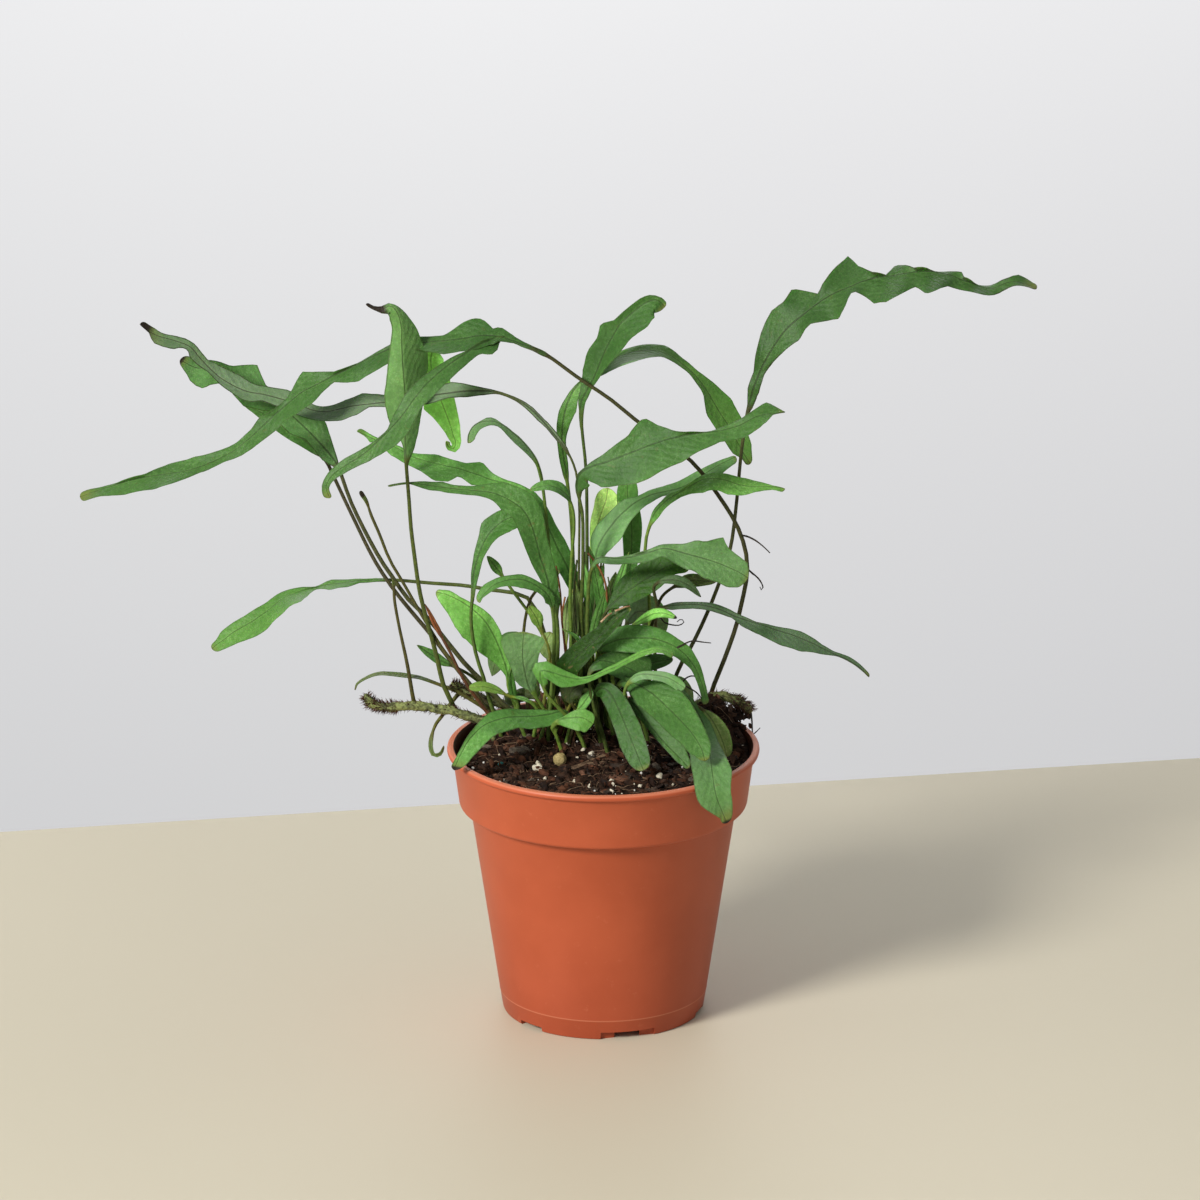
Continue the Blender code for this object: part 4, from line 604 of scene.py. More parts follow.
    Frond("frond_over_rim", (22, 8),
          (640, 700),
          (652, 686, 665, 683, 680, 691, 693, 706, 702, 722, 708, 745, 712, 770, 716, 795, 727, 823),
          (6, 2, -5, -14, -30, -54, -62, -60), 17.5, (-20, -20, -10, -10), wave=0.9,
          edges=(
              (652, 680, 665, 676, 685, 691, 700, 710, 712, 725, 720, 745, 727, 760, 732, 770, 731, 783,
               732, 800, 733, 817),
              (652, 692, 664, 690, 672, 698, 680, 710, 686, 728, 689, 750, 692, 772, 695, 790, 698, 802,
               708, 810, 720, 818),
          )),
    Frond("frond_dark_strap", (15, -3),
          (627, 716, 626, 705),
          (631, 702, 641, 713, 654, 730, 667, 745, 680, 758, 689, 768),
          (-4, -12, -22, -30), 9, (0, 0), tip=0.6,
          edges=(
              (640, 700, 655, 715, 668, 728, 680, 741, 687, 752, 691, 764),
              (627, 702, 633, 712, 644, 724, 656, 739, 666, 750, 676, 761, 685, 768),
          )),
    Frond("frond_mottled", (30, 2),
          (665, 712, 684, 704),
          (700, 708, 713, 722, 722, 740, 727, 757),
          (0, -6, -14, -20), 9.5, (-20, 0), peak=0.6, tip=0.4),
    Frond("frond_under_leaf", (12, 24),
          (610, 680, 622, 668),
          (632, 664, 645, 664, 658, 662, 673, 659),
          (24, 23, 23), 9, (-30,), tip=0.5),
    Frond("frond_inner_dark", (2, -3),
          (590, 690, 590, 670),
          (600, 661, 616, 664, 632, 670, 648, 680),
          (-3, 1, 4), 8, (-30,), tip=0.6,
          edges=(
              (593, 664, 602, 655, 616, 650, 632, 651, 646, 656),
              (598, 670, 608, 674, 622, 680, 636, 688, 645, 692),
          )),
    Frond("frond_pale_small", (16, -9),
          (625, 690),
          (636, 676, 652, 675, 668, 678, 685, 688),
          (-12, -14, -15), 5.5, (-30, -20), tip=0.5,
          edges=(
              (628, 682, 637, 673, 650, 671, 666, 672, 678, 677, 684, 683),
              (636, 682, 644, 679, 657, 680, 669, 685, 678, 691, 684, 694),
          )),
    # The fronds that lean to the back, behind the rest
    Frond("frond_back_left", (-24, 50),
          (540, 700, 537, 672),
          (532, 655, 525, 646, 515, 645, 504, 650, 496, 662, 492, 676),
          (50, 62, 78, 94, 104), 15, (-160, -160, -170), wave=0.8),
    Frond("frond_back_mid", (6, 50),
          (612, 690, 618, 650),
          (626, 625, 636, 612, 646, 612, 655, 622, 661, 640),
          (54, 68, 88, 106, 118), 17, (-160, -160, -170), wave=0.8),
    Frond("frond_back_right", (34, 50),
          (652, 703, 656, 692),
          (661, 687, 670, 684, 680, 688, 687, 698, 690, 711),
          (54, 66, 84, 98, 106), 10, (-160, -160, -170), wave=0.8),
)

# The forked blade's two branches: where each leaves it, as a share of its course, then its picture
# points, their depths, its turn and its edges.
FORK_FRONT = (
    0.517,
    (487, 342, 477, 347, 462, 356, 444, 369, 429, 382, 416, 397, 404, 414, 386, 434, 363, 455, 345, 466,
     332, 476, 326, 487, 330, 498),
    (36, 26, 17, 11, 9, 8),
    (35, 30, 25),
    (
        (500, 341, 497, 344, 493, 352, 489, 357, 484, 356, 479, 355, 475, 357, 465, 366, 452, 378,
         440, 390, 430, 400, 420, 410, 415, 420, 407, 435, 397, 445, 385, 452, 360, 465, 342, 475,
         332, 482, 329, 489, 332, 497),
        (498, 336, 488, 339, 478, 343, 468, 350, 452, 357, 445, 361, 432, 370, 420, 378, 406, 393,
         395, 412, 387, 430, 377, 439, 360, 450, 342, 460, 327, 474, 322, 485, 323, 495),
    ),
)
FORK_BACK = (
    0.59,
    (431, 362, 434, 382, 441, 400, 448, 418, 453, 434, 456, 444, 453, 449, 449, 447, 446, 441),
    (50, 57, 61, 62, 62),
    (15, 10),
    (
        (444, 356, 449, 370, 452, 390, 456, 407, 460, 425, 461, 440, 458, 450, 453, 453, 448, 450,
         445, 442),
        (427, 353, 424, 366, 424, 385, 424, 410, 435, 420, 445, 432, 450, 442, 452, 446, 450, 445,
         447, 440),
    ),
)


class Rhizome(NamedTuple):
    """A creeping rhizome: its picture points from the soil outwards, their depths, and its radius."""

    name: str
    root: tuple
    course: tuple
    depth: tuple
    radius: float


RHIZOMES = (
    Rhizome("rhizome_left", (-55, 18),
            (484, 721, 478, 719, 464, 715, 450, 710, 438, 709, 420, 706, 404, 706, 386, 707, 371, 703,
             365, 694),
            (29, 33, 37, 40, 42), 2.3),
    Rhizome("rhizome_left_rear", (-36, 44),
            (506, 705, 489, 701, 472, 694, 460, 688, 451, 683),
            (45, 46, 48), 2.1),
    Rhizome("rhizome_right", (40, 34),
            (703, 702, 709, 698, 717, 696, 727, 697, 737, 701, 746, 707, 751, 713),
            (33, 31, 28), 2.4),
)


def seen(across, down, behind):
    """The point on the picture plane at (across, down) that lies behind the pot's axis by behind."""
    ray = AHEAD + Vector(((across - CENTRE) / FOCAL, 0, 0)) + UPWARD * ((CENTRE - down) / FOCAL)
    return EYE + ray * ((behind * MM - EYE.y) / ray.y)


def soil_height(x, y):
    """The soil's surface in millimetres, kept down near the pot's wall."""
    height = SOIL_LEVEL
    for rise, centre_x, centre_y, spread_x, spread_y in HEAPS:
        height += rise * math.exp(-(((x - centre_x) / spread_x) ** 2) - ((y - centre_y) / spread_y) ** 2)
    return min(height, SOIL_RIM_LEVEL + 1.2 * (SOIL_RADIUS - math.hypot(x, y)))


def smooth_course(points, samples=COURSE_SAMPLES):
    """A smooth line through the points, sampled evenly by length, with each point's share of it."""
    points = np.array(points, float)
    gaps = np.linalg.norm(np.diff(points, axis=0), axis=1) ** 0.5
    knots = np.concatenate([[0], np.cumsum(gaps)])
    slopes = np.gradient(points, knots, axis=0)
    at = np.linspace(0, knots[-1], 2 * samples)
    piece = np.clip(np.searchsorted(knots, at, side="right") - 1, 0, len(gaps) - 1)
    width = gaps[piece]
    t = ((at - knots[piece]) / width)[:, None]
    width = width[:, None]
    line = (
        (2 * t**3 - 3 * t**2 + 1) * points[piece]
        + (t**3 - 2 * t**2 + t) * width * slopes[piece]
        + (3 * t**2 - 2 * t**3) * points[piece + 1]
        + (t**3 - t**2) * width * slopes[piece + 1]
    )
    length = np.concatenate([[0], np.cumsum(np.linalg.norm(np.diff(line, axis=0), axis=1))])
    shares = np.interp(knots, at, length) / length[-1]
    even = np.linspace(0, length[-1], samples)
    line = np.stack([np.interp(even, length, line[:, k]) for k in range(3)], axis=1)
    return line, shares, length[-1]


def picture_course(root, picture, depth):
    """The course's points in space: the sunk root, then the picture points at their depths."""
    picture = np.array(picture, float).reshape(-1, 2)
    along = np.concatenate([[0], np.cumsum(np.linalg.norm(np.diff(picture, axis=0), axis=1))])
    behind = np.interp(along / along[-1], np.linspace(0, 1, len(depth)), depth)
    points = [seen(u, v, y) for (u, v), y in zip(picture, behind)]
    if root is None:
        return points
    surface = Vector((root[0], root[1], soil_height(*root))) * MM
    lean = (points[0] - surface).normalized()
    down = (lean + Vector((0, 0, 1))).normalized()
    return [surface - down * ROOT_DEPTH * MM, surface] + points


class Course:
    """A frond's or lobe's centre line with what is read along it."""

    def __init__(self, points, blade_from):
        self.line, shares, self.length = smooth_course(points)
        self.blade_share = shares[blade_from] if blade_from else 0.0
        self.tangents = np.gradient(self.line, axis=0)
        self.tangents /= np.linalg.norm(self.tangents, axis=1)[:, None]
        self.reaches = []

    def at(self, share):
        """The point and the direction at this share of the length."""
        place = share * (len(self.line) - 1)
        low = min(int(place), len(self.line) - 2)
        part = place - low
        point = self.line[low] * (1 - part) + self.line[low + 1] * part
        tangent = self.tangents[low] * (1 - part) + self.tangents[low + 1] * part
        return Vector(point), Vector(tangent).normalized()

    def stations(self, blade_step, stem_step):
        """Shares of the length: coarse along the stem, fine along the blade."""
        stem_length = self.length * self.blade_share
        stem = np.linspace(0, self.blade_share, max(4, int(stem_length / (stem_step * MM)) + 2))
        blade_count = max(6, int((self.length - stem_length) / (blade_step * MM)) + 2)
        blade = np.linspace(self.blade_share, 1, blade_count)
        if not self.blade_share:
            return blade
        return np.concatenate([stem[:-1], blade])


def profile(t, peak, base, tip):
    """The blade's half-width along it, as a share of the widest."""
    if t < peak:
        return math.sin(math.pi / 2 * t / peak) ** base
    return max(math.cos(math.pi / 2 * (t - peak) / (1 - peak)), 0.0) ** tip


def pictured(point):
    """Where the point in space falls on the picture plane, and how many millimetres a pixel spans."""
    ray = Vector(point) - EYE
    ahead = ray.dot(AHEAD)
    return CENTRE + FOCAL * ray.x / ahead, CENTRE - FOCAL * ray.dot(UPWARD) / ahead, ahead / MM / FOCAL


def edge_reach(course, edge):
    """For each of the edge's picture points, its share of the course and its distance from it."""
    line = np.array([pictured(point) for point in course.line])
    shares = []
    reaches = []
    for across, down in np.reshape(edge, (-1, 2)):
        away = np.hypot(line[:, 0] - across, line[:, 1] - down)
        nearest = int(away.argmin())
        shares.append(nearest / (len(line) - 1))
        reaches.append(away[nearest] * line[nearest, 2])
    order = np.argsort(shares)
    return np.array(shares)[order], np.array(reaches)[order]


def frond_course(frond):
    picture = frond.stem + frond.blade
    points = picture_course(frond.root, picture, frond.depth)
    roots = 0 if frond.root is None else 2
    course = Course(points, roots + len(frond.stem) // 2)
    course.reaches = [edge_reach(course, edge) for edge in frond.edges]
    return course


ATTRIBUTES = ("leaf", "form", "wear", "tint", "dry")


class Look(NamedTuple):
    """A frond's finish: its green, and how much of its end has yellowed.

    rim is how dark its margin is, spots how spotted it is, stalk how green its stalk is, burnt how
    much of its end is brown and dry, turned whether its pale underside faces the picture, and slot
    the record's material for it, which is not used. gain makes it lighter, and bloom is how greyish
    its sheen is.
    """

    green: tuple = MID
    ageing: float = 0.04
    rim: float = 0.5
    spots: float = 0.15
    stalk: float = 0.2
    burnt: float = 0.0
    turned: bool = False
    slot: str = "leaf"
    # gain scales the green: partly the frond's own lighter or deeper colour, partly painted light on
    # fronds in others' shadow and painted shade on fronds deep in the clump
    gain: float = 1.0
    # bloom is a painted sheen: a greyish white haze laid into the blade's colour for the glossy light it
    # reflects
    painted_sheen: float = 0.0


# The gains hold painted light: fronds in the shadow of others, such as the yellow upright, are lightened
# to look lit
LOOKS = {
    "frond_right_wavy": Look(MID, 0.06, 0.9, 0.15, 0.3, gain=0.62),
    "frond_forked": Look(MID, 0.05, 0.5, 0.2, 0.18, gain=0.74),
    "frond_centre_big": Look(MID, 0.05, 0.5, 0.2, 0.6, gain=0.8),
    "frond_right_rear": Look(DEEP, 0.04, 0.4, 0.1, 0.7, gain=2.6, painted_sheen=0.3),
    "frond_right_mid": Look(FRESH, 0.05, 0.3, 0.1, 0.75, gain=1.12),
    "frond_right_broad": Look(MID, 0.04, 0.5, 0.2, 0.6, gain=1.05, painted_sheen=0.15),
    "frond_right_drooping": Look(DARK, 0.05, 0.6, 0.2, 0.5, slot="dark_leaf", gain=1.0, painted_sheen=0.26),
    "frond_left_upright": Look(FRESH, 0.04, 0.6, 0.1, 0.35, 0.13, gain=0.9, painted_sheen=0.15),
    "frond_left_rear": Look(DEEP, 0.05, 0.8, 0.2, 0.16, 0.02, gain=1.55, painted_sheen=0.12),
    "frond_left_low_rear": Look(DEEP, 0.03, 0.3, 0.1, 0.1, gain=1.1),
    "frond_left_twisted": Look(MID, 0.10, 0.9, 0.2, 0.3, 0.05, turned=True, gain=1, painted_sheen=0.35),
    "frond_left_mid": Look(MID, 0.04, 0.4, 0.15, 0.8, gain=1.8),
    "frond_pale_needle_tip": Look(MID, 0.04, 0.4, 0.35, 0.8, gain=0.95),
    "frond_left_long_low": Look(FRESH, 0.05, 0.5, 0.15, 0.4, 0.015, gain=0.85),
    "frond_crozier": Look(OLIVE, 0.12, 0.0, 0.0, 0.5, 0.3, slot="young_leaf"),
    "frond_broken_stipe": Look(OLIVE, 0.1, 0.0, 0.0, 0.4, slot="dead_stalk"),
    "frond_rust_stub": Look(RUSTY, 0.0, 0.0, 0.0, 0.2, slot="dead_stalk"),
    "frond_centre_upright": Look(DEEP, 0.04, 0.5, 0.1, 0.75, gain=0.95),
    "frond_centre_arch": Look(FRESH, 0.04, 0.6, 0.15, 0.85, gain=0.85),
    "frond_thin_arch": Look(DEEP, 0.04, 0.5, 0.1, 0.8, 0.012, gain=1.45, painted_sheen=0.3),
    "frond_mid_curling": Look(MID, 0.05, 0.3, 0.1, 0.85, gain=1.2),
    "frond_upright_yellow": Look(YELLOW, 0.02, 0.3, 0.2, 0.5, slot="young_leaf", gain=2.9, painted_sheen=0.35),
    "frond_upright_right": Look(DEEP, 0.05, 0.3, 0.1, 0.8, gain=1.75),
    "frond_small_pale": Look(YELLOW, 0.10, 0.2, 0.1, 0.5, slot="young_leaf", gain=1.3, painted_sheen=0.3),
    "frond_left_shiny": Look(DEEP, 0.04, 0.5, 0.1, 0.7, gain=1.2),
    "frond_low_arch": Look(MID, 0.05, 0.4, 0.1, 0.7, gain=1.15),
    "frond_thin_stalked": Look(FRESH, 0.05, 0.3, 0.1, 0.7),
    "frond_small_olive": Look(YELLOW, 0.10, 0.2, 0.1, 0.5, slot="young_leaf", gain=1.1),
    "frond_thin_hooked": Look(OLIVE, 0.10, 0.2, 0.1, 0.5),
    "frond_left_broad": Look(FRESH, 0.04, 0.4, 0.35, 0.7, gain=1.5),
    "frond_paddle": Look(MID, 0.04, 0.3, 0.1, 0.8, gain=1.35, painted_sheen=0.3),
    "frond_small_bright": Look(YELLOW, 0.05, 0.2, 0.05, 0.8, slot="young_leaf"),
    "frond_left_small": Look(MID, 0.05, 0.3, 0.1, 0.5, gain=1.15),
    "frond_left_narrow": Look(OLIVE, 0.08, 0.3, 0.1, 0.6, gain=1.15),
    "frond_left_curl": Look(OLIVE, 0.08, 0.3, 0.1, 0.7, gain=1.3),
    "frond_front_strap_left": Look(MID, 0.1, 0.5, 0.3, 0.8, 0.04, gain=1.35),
    "frond_front_rounded": Look(FRESH, 0.03, 0.2, 0.05, 0.7, slot="young_leaf", gain=1.22),
    "frond_dark_spread": Look(SHADE, 0.04, 0.3, 0.1, 0.5, slot="dark_leaf", gain=0.85),
    "frond_olive_right": Look(OLIVE, 0.05, 0.3, 0.1, 0.4),
    "frond_grey_right": Look(DARK, 0.05, 0.3, 0.1, 0.3, turned=True, gain=1.2),
    "frond_bright_tip": Look(FRESH, 0.05, 0.4, 0.05, 0.5, 0.06, slot="young_leaf", gain=1.75),
    "frond_dark_folded": Look(SHADE, 0.05, 0.3, 0.5, 0.5, slot="dark_leaf", gain=0.55),
    "frond_broad_arch": Look(DEEP, 0.04, 0.4, 0.15, 0.7, gain=1.62),
    "frond_bright_edge": Look(FRESH, 0.03, 0.2, 0.05, 0.6, gain=1.15),
    "frond_front_strap_mid": Look(DEEP, 0.08, 0.4, 0.15, 0.7, 0.02, gain=0.95),
    "frond_front_bright": Look(MID, 0.04, 0.4, 0.15, 0.7, gain=0.88),
    "frond_over_rim": Look(MID, 0.1, 0.4, 0.25, 0.7, 0.02, gain=1.22, painted_sheen=0.2),
    "frond_dark_strap": Look(MID, 0.04, 0.3, 0.1, 0.3, slot="dark_leaf", gain=0.85),
    "frond_mottled": Look(OLIVE, 0.1, 0.3, 0.9, 0.2, slot="dark_leaf", gain=2.4),
    "frond_under_leaf": Look(MID, 0.04, 0.3, 0.1, 0.5, slot="dark_leaf", gain=0.8),
    "frond_inner_dark": Look(MID, 0.04, 0.3, 0.1, 0.6, slot="dark_leaf", gain=0.8),
    "frond_pale_small": Look(MID, 0.03, 0.1, 0.05, 0.5, slot="young_leaf", gain=2.0, painted_sheen=0.5),
    "frond_back_left": Look(MID, 0.04, 0.4, 0.15, 0.3),
    "frond_back_mid": Look(DEEP, 0.04, 0.4, 0.15, 0.3),
    "frond_back_right": Look(MID, 0.04, 0.4, 0.15, 0.3),
}


# Young and winged stalks in the middle, which the record's solids leave out
SHOOTS = (
    Frond("shoot_a", (-10, 20), (589, 672), (586, 650, 581, 620, 577, 597, 575, 580),
          (20, 21, 22), 6.4, (20, 35)),
    Frond("shoot_b", (-3, 24), (596, 672), (597, 648, 593, 612, 587, 584, 582, 556),
          (24, 25, 26), 6.2, (-25, -10)),
    Frond("shoot_c", (2, 20), (603, 668), (602, 642, 602, 610, 597, 582, 589, 546),
          (20, 21, 22), 6.4, (30, 20)),
    Frond("shoot_d", (-14, 16), (577, 676), (576, 652, 574, 625, 573, 605, 575, 587),
          (16, 17, 18), 4.6, (15,)),
    Frond("shoot_e", (6, 26), (609, 668), (611, 640, 614, 606, 620, 580, 629, 552),
          (26, 28, 30), 5.4, (-20, 10)),
    Frond("shoot_f", (-7, 28), (586, 676), (586, 648, 592, 612, 599, 586, 604, 562),
          (28, 29, 30), 6.0, (25,)),
    Frond("shoot_g", (-18, 22), (568, 676), (566, 652, 566, 622, 569, 600, 574, 588),
          (22, 23, 24), 3.8, (-15,)),
    Frond("shoot_h", (-2, 14), (592, 676), (591, 655, 594, 628, 600, 606, 606, 590),
          (14, 15, 16), 4.6, (20,)),
    Frond("shoot_i", (-16, 8), (580, 690), (581, 664, 581, 646, 576, 637, 562, 629),
          (8, 7, 5), 3.2, (40, 60)),
    Frond("shoot_j", (-20, 10), (566, 716), (570, 706, 577, 697, 587, 692, 596, 691),
          (8, 4, 1), 7.2, (40, 30)),
    Frond("shoot_k", (-18, 4), (572, 722), (577, 712, 584, 703, 590, 694, 591, 687),
          (2, -2, -3), 6.0, (-30, -20)),
    Frond("shoot_l", (-38, 12), (516, 716), (518, 706, 513, 694, 511, 680, 511, 668),
          (12, 11, 10), 4.4, (20, 40)),
    Frond("shoot_m", (-20, 20), (553, 676), (551, 662, 548, 650, 547, 641, 551, 632),
          (20, 20, 20), 8.6, (0,), peak=0.5, tip=0.5),
    Frond("shoot_n", (-34, 10), (538, 712), (533, 704, 526, 700, 519, 698, 513, 697),
          (8, 6, 4), 3.4, (50,)),
)
SHADED_SHOOTS = (
    Frond("shaded_shoot_a", (-17, 2), (577, 712), (572, 704, 570, 696, 575, 688, 585, 683),
          (2, 2, 2), 11, (-20, 10)),
    Frond("shaded_shoot_b", (-10, 14), (588, 705), (589, 695, 593, 685, 600, 676, 607, 669),
          (14, 13, 12), 12, (20, 10)),
    Frond("shaded_shoot_c", (-1, 17), (602, 700), (607, 690, 613, 681, 621, 673, 631, 667),
          (17, 16, 15), 12, (-25, 0)),
    Frond("shaded_shoot_d", (8, 16), (616, 700), (622, 691, 630, 684, 638, 678, 646, 673),
          (16, 14, 12), 12, (25, 10)),
    Frond("shaded_shoot_e", (-35, 24), (522, 712), (519, 705, 513, 699, 504, 696),
          (24, 26, 28), 9, (20,)),
    Frond("shaded_shoot_f", (-27, 26), (538, 706), (536, 699, 532, 692, 526, 687),
          (26, 27, 28), 10, (-20,)),
    Frond("shaded_shoot_h", (-13, 19), (584, 692), (585, 682, 587, 670, 588, 655),
          (19, 19, 19), 6, (10,)),
    Frond("shaded_shoot_i", (-32, 30), (532, 706), (528, 700, 522, 695, 515, 691),
          (30, 31, 32), 8, (-10,)),
    Frond("shaded_shoot_g", (-20, 14), (560, 706), (557, 696, 553, 687, 546, 680),
          (14, 15, 16), 9, (20,)),
)

# How many times as thick as the rest a frond's stalk is
STOUT = {
    "frond_left_rear": 1.25,
    "frond_left_low_rear": 1.2,
    "frond_left_upright": 1.15,
    "frond_left_twisted": 0.65,
}

# The looks of the shoots, and of the forked frond's further branch
SHADED_LOOK = Look(OLIVE, 0.1, 0.2, 0.3, 0.6, slot="dark_leaf", gain=0.55)
SHOOT_LOOKS = (
    Look(OLIVE, 0.10, 0.4, 0.1, 0.8, slot="young_leaf", gain=3.0, painted_sheen=0.2),
    Look(MID, 0.06, 0.5, 0.1, 0.8, gain=1.9),
    Look(DEEP, 0.05, 0.5, 0.1, 0.6, gain=2.2),
)
# painted light: the back branch lies in the front branch's shadow, and its high gain makes it look lit
# from behind
BACK_BRANCH_LOOK = Look(FRESH, 0.08, 0.2, 0.2, 0.95, gain=3.0)


class Strand(NamedTuple):
    """A thin stalk, tendril or rootlet.

    leaves names the frond or rhizome that it starts on, and root is where it enters the soil. One
    with neither is a scar that lies on a blade. picture holds its picture points, depth their
    distances behind the pot's axis, and radii its radius at the start and at the end, in millimetres.
    """

    name: str
    leaves: str
    root: tuple
    picture: tuple
    depth: tuple
    radii: tuple
    finish: str


STRANDS = (
    Strand("tendril_upper", "frond_forked", None,
           (739, 535, 746, 536, 753, 539, 759, 543, 765, 548, 770, 553),
           (34, 36, 34), (0.5, 0.25), "dark"),
    Strand("tendril_hooked", "frond_forked", None,
           (747, 568, 752, 573, 757, 577, 761, 582, 763, 588, 761, 590, 760, 587),
           (33, 32, 31), (0.5, 0.25), "dark"),
    Strand("tendril_middle", "frond_broad_arch", None,
           (681, 641, 692, 641, 702, 642, 711, 643),
           (6, 8, 10), (0.5, 0.25), "dark"),
    Strand("tendril_looped", "frond_right_drooping", None,
           (657, 611, 664, 622, 673, 625, 680, 625, 684, 622, 681, 619, 677, 622),
           (18, 15, 13), (0.45, 0.2), "dark"),
    Strand("rootlet_right", "rhizome_right", None,
           (751, 713, 752, 722, 753, 734, 756, 732, 760, 728),
           (28, 22, 16), (0.5, 0.2), "dark"),
    Strand("rust_stalk_right", None, (8, 24),
           (606, 640, 607, 604, 605, 582, 598, 566, 588, 553),
           (24, 22, 20), (0.8, 0.5), "rust"),
    Strand("rust_stalk_left", None, (-14, 20),
           (569, 680, 565, 646, 562, 617, 565, 597),
           (18, 16, 14), (0.8, 0.45), "rust"),
    Strand("root_curl_upper", None, (41, 24),
           (683, 682, 688, 677, 694, 676, 699, 680, 700, 686),
           (24, 24, 24), (0.6, 0.3), "dark"),
    Strand("root_curl_lower", None, (42, 22),
           (684, 686, 691, 689, 697, 693, 702, 699),
           (22, 23, 26), (0.5, 0.3), "dark"),
    Strand("leaf_scar_low", None, None,
           (601, 622, 604, 619, 608, 615, 612, 613),
           (-2.6, -2.8), (0.5, 0.35), "tan"),
    Strand("leaf_scar_high", None, None,
           (615, 611, 620, 609, 625, 607, 630, 606),
           (-2.8, -3.0), (0.55, 0.3), "tan"),
    Strand("young_stalk_a", None, (-8, 18),
           (578, 660, 576, 620, 574, 590, 577, 560),
           (18, 17, 17), (0.8, 0.5), "olive"),
    Strand("young_stalk_b", None, (-1, 24),
           (592, 650, 594, 610, 599, 580, 602, 556),
           (24, 23, 22), (0.8, 0.5), "olive"),
    Strand("young_stalk_c", None, (-18, 28),
           (566, 660, 562, 620, 560, 590, 556, 566),
           (28, 28, 30), (0.8, 0.45), "rust"),
    Strand("young_stalk_d", None, (12, 22),
           (612, 650, 613, 620, 611, 596, 608, 577),
           (22, 20, 19), (0.75, 0.4), "olive"),
    Strand("young_stalk_e", None, (-11, 35),
           (581, 650, 584, 610, 586, 580, 585, 552),
           (35, 35, 35), (0.8, 0.45), "dark"),
)


class Socket:
    """A node's output. Sums and products with it add Math nodes to its finish."""

    def __init__(self, finish, output):
        self.finish = finish
        self.output = output

    def math(self, operation, *values):
        return self.finish.node("ShaderNodeMath", {"operation": operation}, dict(enumerate(values)))

    def __add__(self, other):
        return self.math("ADD", self, other)

    __radd__ = __add__

    def __mul__(self, other):
        return self.math("MULTIPLY", self, other)

    __rmul__ = __mul__

    def __sub__(self, other):
        return self.math("SUBTRACT", self, other)

    def __rsub__(self, other):
        return self.math("SUBTRACT", other, self)

    def __abs__(self):
        return self.math("ABSOLUTE", self)

    def sine(self):
        return self.math("SINE", self)

    def rise(self, low, high):
        """0 below low, 1 above high and smooth between, or the other way round if low is the larger."""
        settings = {"interpolation_type": "SMOOTHSTEP"}
        return self.finish.node("ShaderNodeMapRange", settings, {0: self, 1: low, 2: high})


class Finish:
    """A material with one principled shader, whose fixed values are set on its own sockets."""

    def __init__(self, name, roughness=0.5, specular=0.5):
        self.material = bpy.data.materials.new(name)
        self.material.use_nodes = True
        self.tree = self.material.node_tree
        self.shader = self.tree.nodes["Principled BSDF"]
        self.shader.inputs["Roughness"].default_value = roughness
        self.shader.inputs["Specular IOR Level"].default_value = specular

    def feed(self, socket, value):
        if isinstance(value, Socket):
            self.tree.links.new(value.output, socket)
        elif socket.type == "RGBA" and len(value) == 3:
            socket.default_value = (*value, 1.0)
        else:
            socket.default_value = value

    def node(self, kind, settings=None, values=None, output=0):
        """Adds a node of this kind with its settings, then its sockets' values or links."""
        made = self.tree.nodes.new(kind)
        for setting, value in (settings or {}).items():
            setattr(made, setting, value)
        for socket, value in (values or {}).items():
            self.feed(made.inputs[socket], value)
        return Socket(self, made.outputs[output])

    def place(self):
        return self.node("ShaderNodeTexCoord", output="Object")

    def noise(self, scale, detail=2.0, roughness=0.5):
        values = {"Vector": self.place(), "Scale": scale, "Detail": detail, "Roughness": roughness}
        return self.node("ShaderNodeTexNoise", {}, values)

    def cells(self, scale):
        return self.node("ShaderNodeTexVoronoi", {}, {"Vector": self.place(), "Scale": scale})

    def mix(self, share, first, second, blend="MIX"):
        settings = {"data_type": "RGBA", "blend_type": blend}
        return self.node("ShaderNodeMix", settings, {0: share, 6: first, 7: second}, output=2)

    def times(self, colour, factors):
        """The colour with its red, green and blue multiplied by these factors."""
        return self.mix(1.0, colour, factors, "MULTIPLY")

    def attribute(self, name):
        """The three numbers of the piece's own attribute of this name."""
        return self.parts(self.node("ShaderNodeAttribute", {"attribute_name": name}, output="Vector"))

    def parts(self, vector):
        """The vector's three numbers."""
        first = self.node("ShaderNodeSeparateXYZ", {}, {0: vector})
        return [Socket(self, output) for output in first.output.node.outputs]

    def colour(self, socket):
        self.feed(self.shader.inputs["Base Color"], socket)

    def roughness(self, socket):
        self.feed(self.shader.inputs["Roughness"], socket)

    def bump(self, height, distance, strength=1.0):
        """Raises the surface by height times distance, in metres."""
        values = {"Height": height, "Distance": distance, "Strength": strength}
        self.feed(self.shader.inputs["Normal"], self.node("ShaderNodeBump", {}, values))


# Finishes

